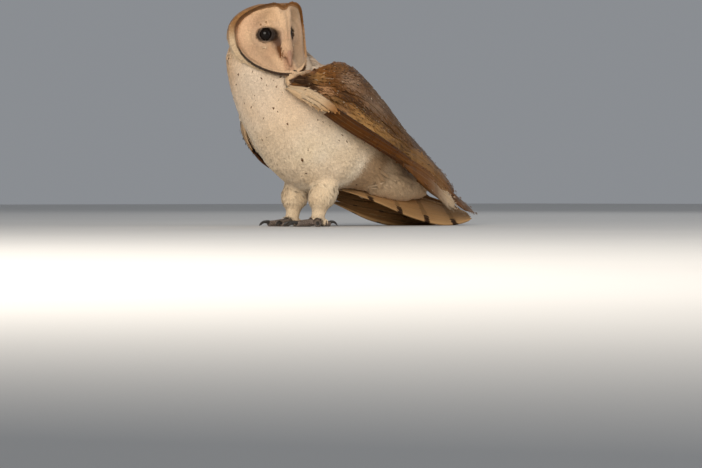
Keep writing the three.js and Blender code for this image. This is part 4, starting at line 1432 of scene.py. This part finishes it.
def bill(material):
    """The two halves of the hooked bill."""
    for name, scale, drop in (("upper", 1.0, 0.0), ("lower", 0.8, 3.2)):
        rings = []
        for t in np.linspace(0, 1, 18):
            bend = math.radians(blend(*BILL["bend"], t))
            size = (1 - t) ** 0.6 * scale
            middle = np.array(
                [
                    0,
                    BILL["root"][0] - BILL["length"] * 0.26 * math.sin(t * 1.5) * scale,
                    BILL["root"][1] - drop - BILL["length"] * (0.25 * t + 0.55 * t * t) * scale,
                ]
            )
            front = np.array([0, -math.sin(bend), math.cos(bend)])
            a = circle(24)
            wide = BILL["width"] / 2 * size + 0.35
            deep = BILL["depth"] / 2 * size + 0.35
            rings.append(middle + np.sin(a)[:, None] * [wide, 0, 0] + np.cos(a)[:, None] * front * deep)
        finish_piece(loft(f"mandible_{name}", from_head(np.array(rings))), material, "bill", f"bill_{name}")


def claws(material):
    """The claws of the solids, made round."""
    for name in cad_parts:
        if not name.startswith("claw_"):
            continue
        talon = name.replace("claw", "talon")
        me = welded(name, talon)
        obj = linked(talon, me)
        modifier = obj.modifiers.new("round", "SUBSURF")
        modifier.levels = modifier.render_levels = 2
        me.polygons.foreach_set("use_smooth", np.ones(len(me.polygons), bool))
        finish_piece(obj, material, "claw", name)


# ------------------------------------------------------------------ skin finish
def finish_skin(material, toes):
    """Paints the skin much like the coat over it but darker, as painted shade between the feathers, and puts
    it in the place of the solids of flesh.
    """
    is_head = skin_region == "head"
    local = to_head(skin_verts)
    share, face = on_disc(local)
    on_face = is_head & (share < 1) & (local[:, 1] - face < 12)
    # painted shade: the skin is painted darker than the coat over it, 0.8 on the body and head and 0.9 on the
    # face and wings
    tint = 0.8 * np.where(is_head[:, None], head_tint(skin_verts), body_tint(skin_verts, skin_normals))
    tint = np.where(on_face[:, None], face_tint(skin_verts) * 0.9, tint)
    for name, side in SIDES.items():
        own = np.flatnonzero((skin_region == "wing") & (skin_verts[:, 0] * side > 0))
        t, v, colour, _ = wing_cover(skin_verts[own], skin_normals[own], name)
        front = (t < WING_FRONT) & (v > 0.85)
        tint[own] = mix(colour * 0.9, WARM, front)
    paint(skin, tint)
    skin.data.materials.append(material)
    skin.data.materials.append(toes)
    is_foot = skin_region == "foot"
    index = np.zeros(len(skin.data.polygons), np.int32)
    first = np.zeros(len(skin.data.polygons), np.int32)
    skin.data.polygons.foreach_get("loop_start", first)
    corners = np.zeros(len(skin.data.loops), np.int32)
    skin.data.loops.foreach_get("vertex_index", corners)
    index[is_foot[corners[first]]] = 1
    skin.data.polygons.foreach_set("material_index", index)
    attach(skin, "root")
    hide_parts(*FLESH)


# ------------------------------------------------------------------ studio
CAMERA_DISTANCE = 2.6
CAMERA_HEIGHT = 0.03
PICTURE_WIDTH = 0.7371  # metres across the picture at the owl
CAMERA_DIP = math.radians(0.846)


def aim(obj, look):
    """Turns a camera or a light to look that way."""
    obj.rotation_mode = "QUATERNION"
    obj.rotation_quaternion = look.to_track_quat("-Z", "Y")


def camera():
    """The photo's camera: low, far off and turned slightly down."""
    data = bpy.data.cameras.new("camera")
    data.sensor_width = 36
    data.lens = 36 * CAMERA_DISTANCE / PICTURE_WIDTH
    data.clip_start, data.clip_end = 0.05, 50
    obj = linked("camera", data)
    back = np.array([math.sin(PHOTO_AZIMUTH), -math.cos(PHOTO_AZIMUTH), 0])
    obj.location = Vector(back * CAMERA_DISTANCE - MIDDLE * MM) + Vector((0, 0, CAMERA_HEIGHT))
    look = Vector(-back * math.cos(CAMERA_DIP)) + Vector((0, 0, -math.sin(CAMERA_DIP)))
    aim(obj, look)
    bpy.context.scene.camera = obj


def studio():
    """A pale floor, a dim sky and three lamps; none of it belongs to the part."""
    bpy.context.scene.view_settings.view_transform = "Standard"
    world = bpy.data.worlds.new("world")
    bpy.context.scene.world = world
    world.use_nodes = True
    world.node_tree.nodes["Background"].inputs[0].default_value = (0.80, 0.84, 0.90, 1)
    world.node_tree.nodes["Background"].inputs[1].default_value = 0.32
    bpy.ops.mesh.primitive_plane_add(size=14, location=(0, 0, 0))
    floor = bpy.context.object
    floor.name = "floor"
    pale = grained("floor", (0.62, 0.61, 0.59), (0.68, 0.67, 0.65), 0.85, 0.5, 3, 3, 0)
    floor.data.materials.append(pale)
    for name, azimuth, height, distance, size, power in (
        ("key", 36, 0.85, 1.9, 1.0, 28),
        ("fill", 115, 1.0, 2.2, 1.8, 10),
        ("rim", 215, 1.6, 2.0, 1.2, 6),
    ):
        light = bpy.data.lights.new(name, "AREA")
        light.size = size
        light.energy = power
        light.color = (1.0, 0.93, 0.84) if name == "key" else (1, 1, 1)
        obj = linked(name, light)
        a = math.radians(azimuth)
        obj.location = (math.sin(a) * distance, -math.cos(a) * distance, height)
        aim(obj, Vector((0, 0, 0.1)) - obj.location)


# ------------------------------------------------------------------ assembly
down, vane = down_material(), vane_material()
finish_skin(skin_material(), toe_material())
coat_body(down)
coat_head(down)
ruff(down)
bristles(down)
coat_legs(down)
for wing_name in SIDES:
    coat_wing(down, wing_name)
    coverts(wing_name, vane, down)
    long_feathers(wing_name, vane, down)
    edge_band(wing_name, vane, down)
tail_feathers(vane)
eyes(
    grained("eye", (0.002, 0.0015, 0.001), (0.012, 0.008, 0.006), 0.12, 0.16, 500, 4, 0),
    grained("lid", (0.005, 0.003, 0.002), (0.014, 0.009, 0.006), 0.95, 0.05),
)
bill(grained("bill", linear(150, 108, 84), linear(190, 148, 120), shine=0.3))
claws(grained("claw", (0.012, 0.01, 0.009), (0.05, 0.042, 0.036)))
camera()
studio()
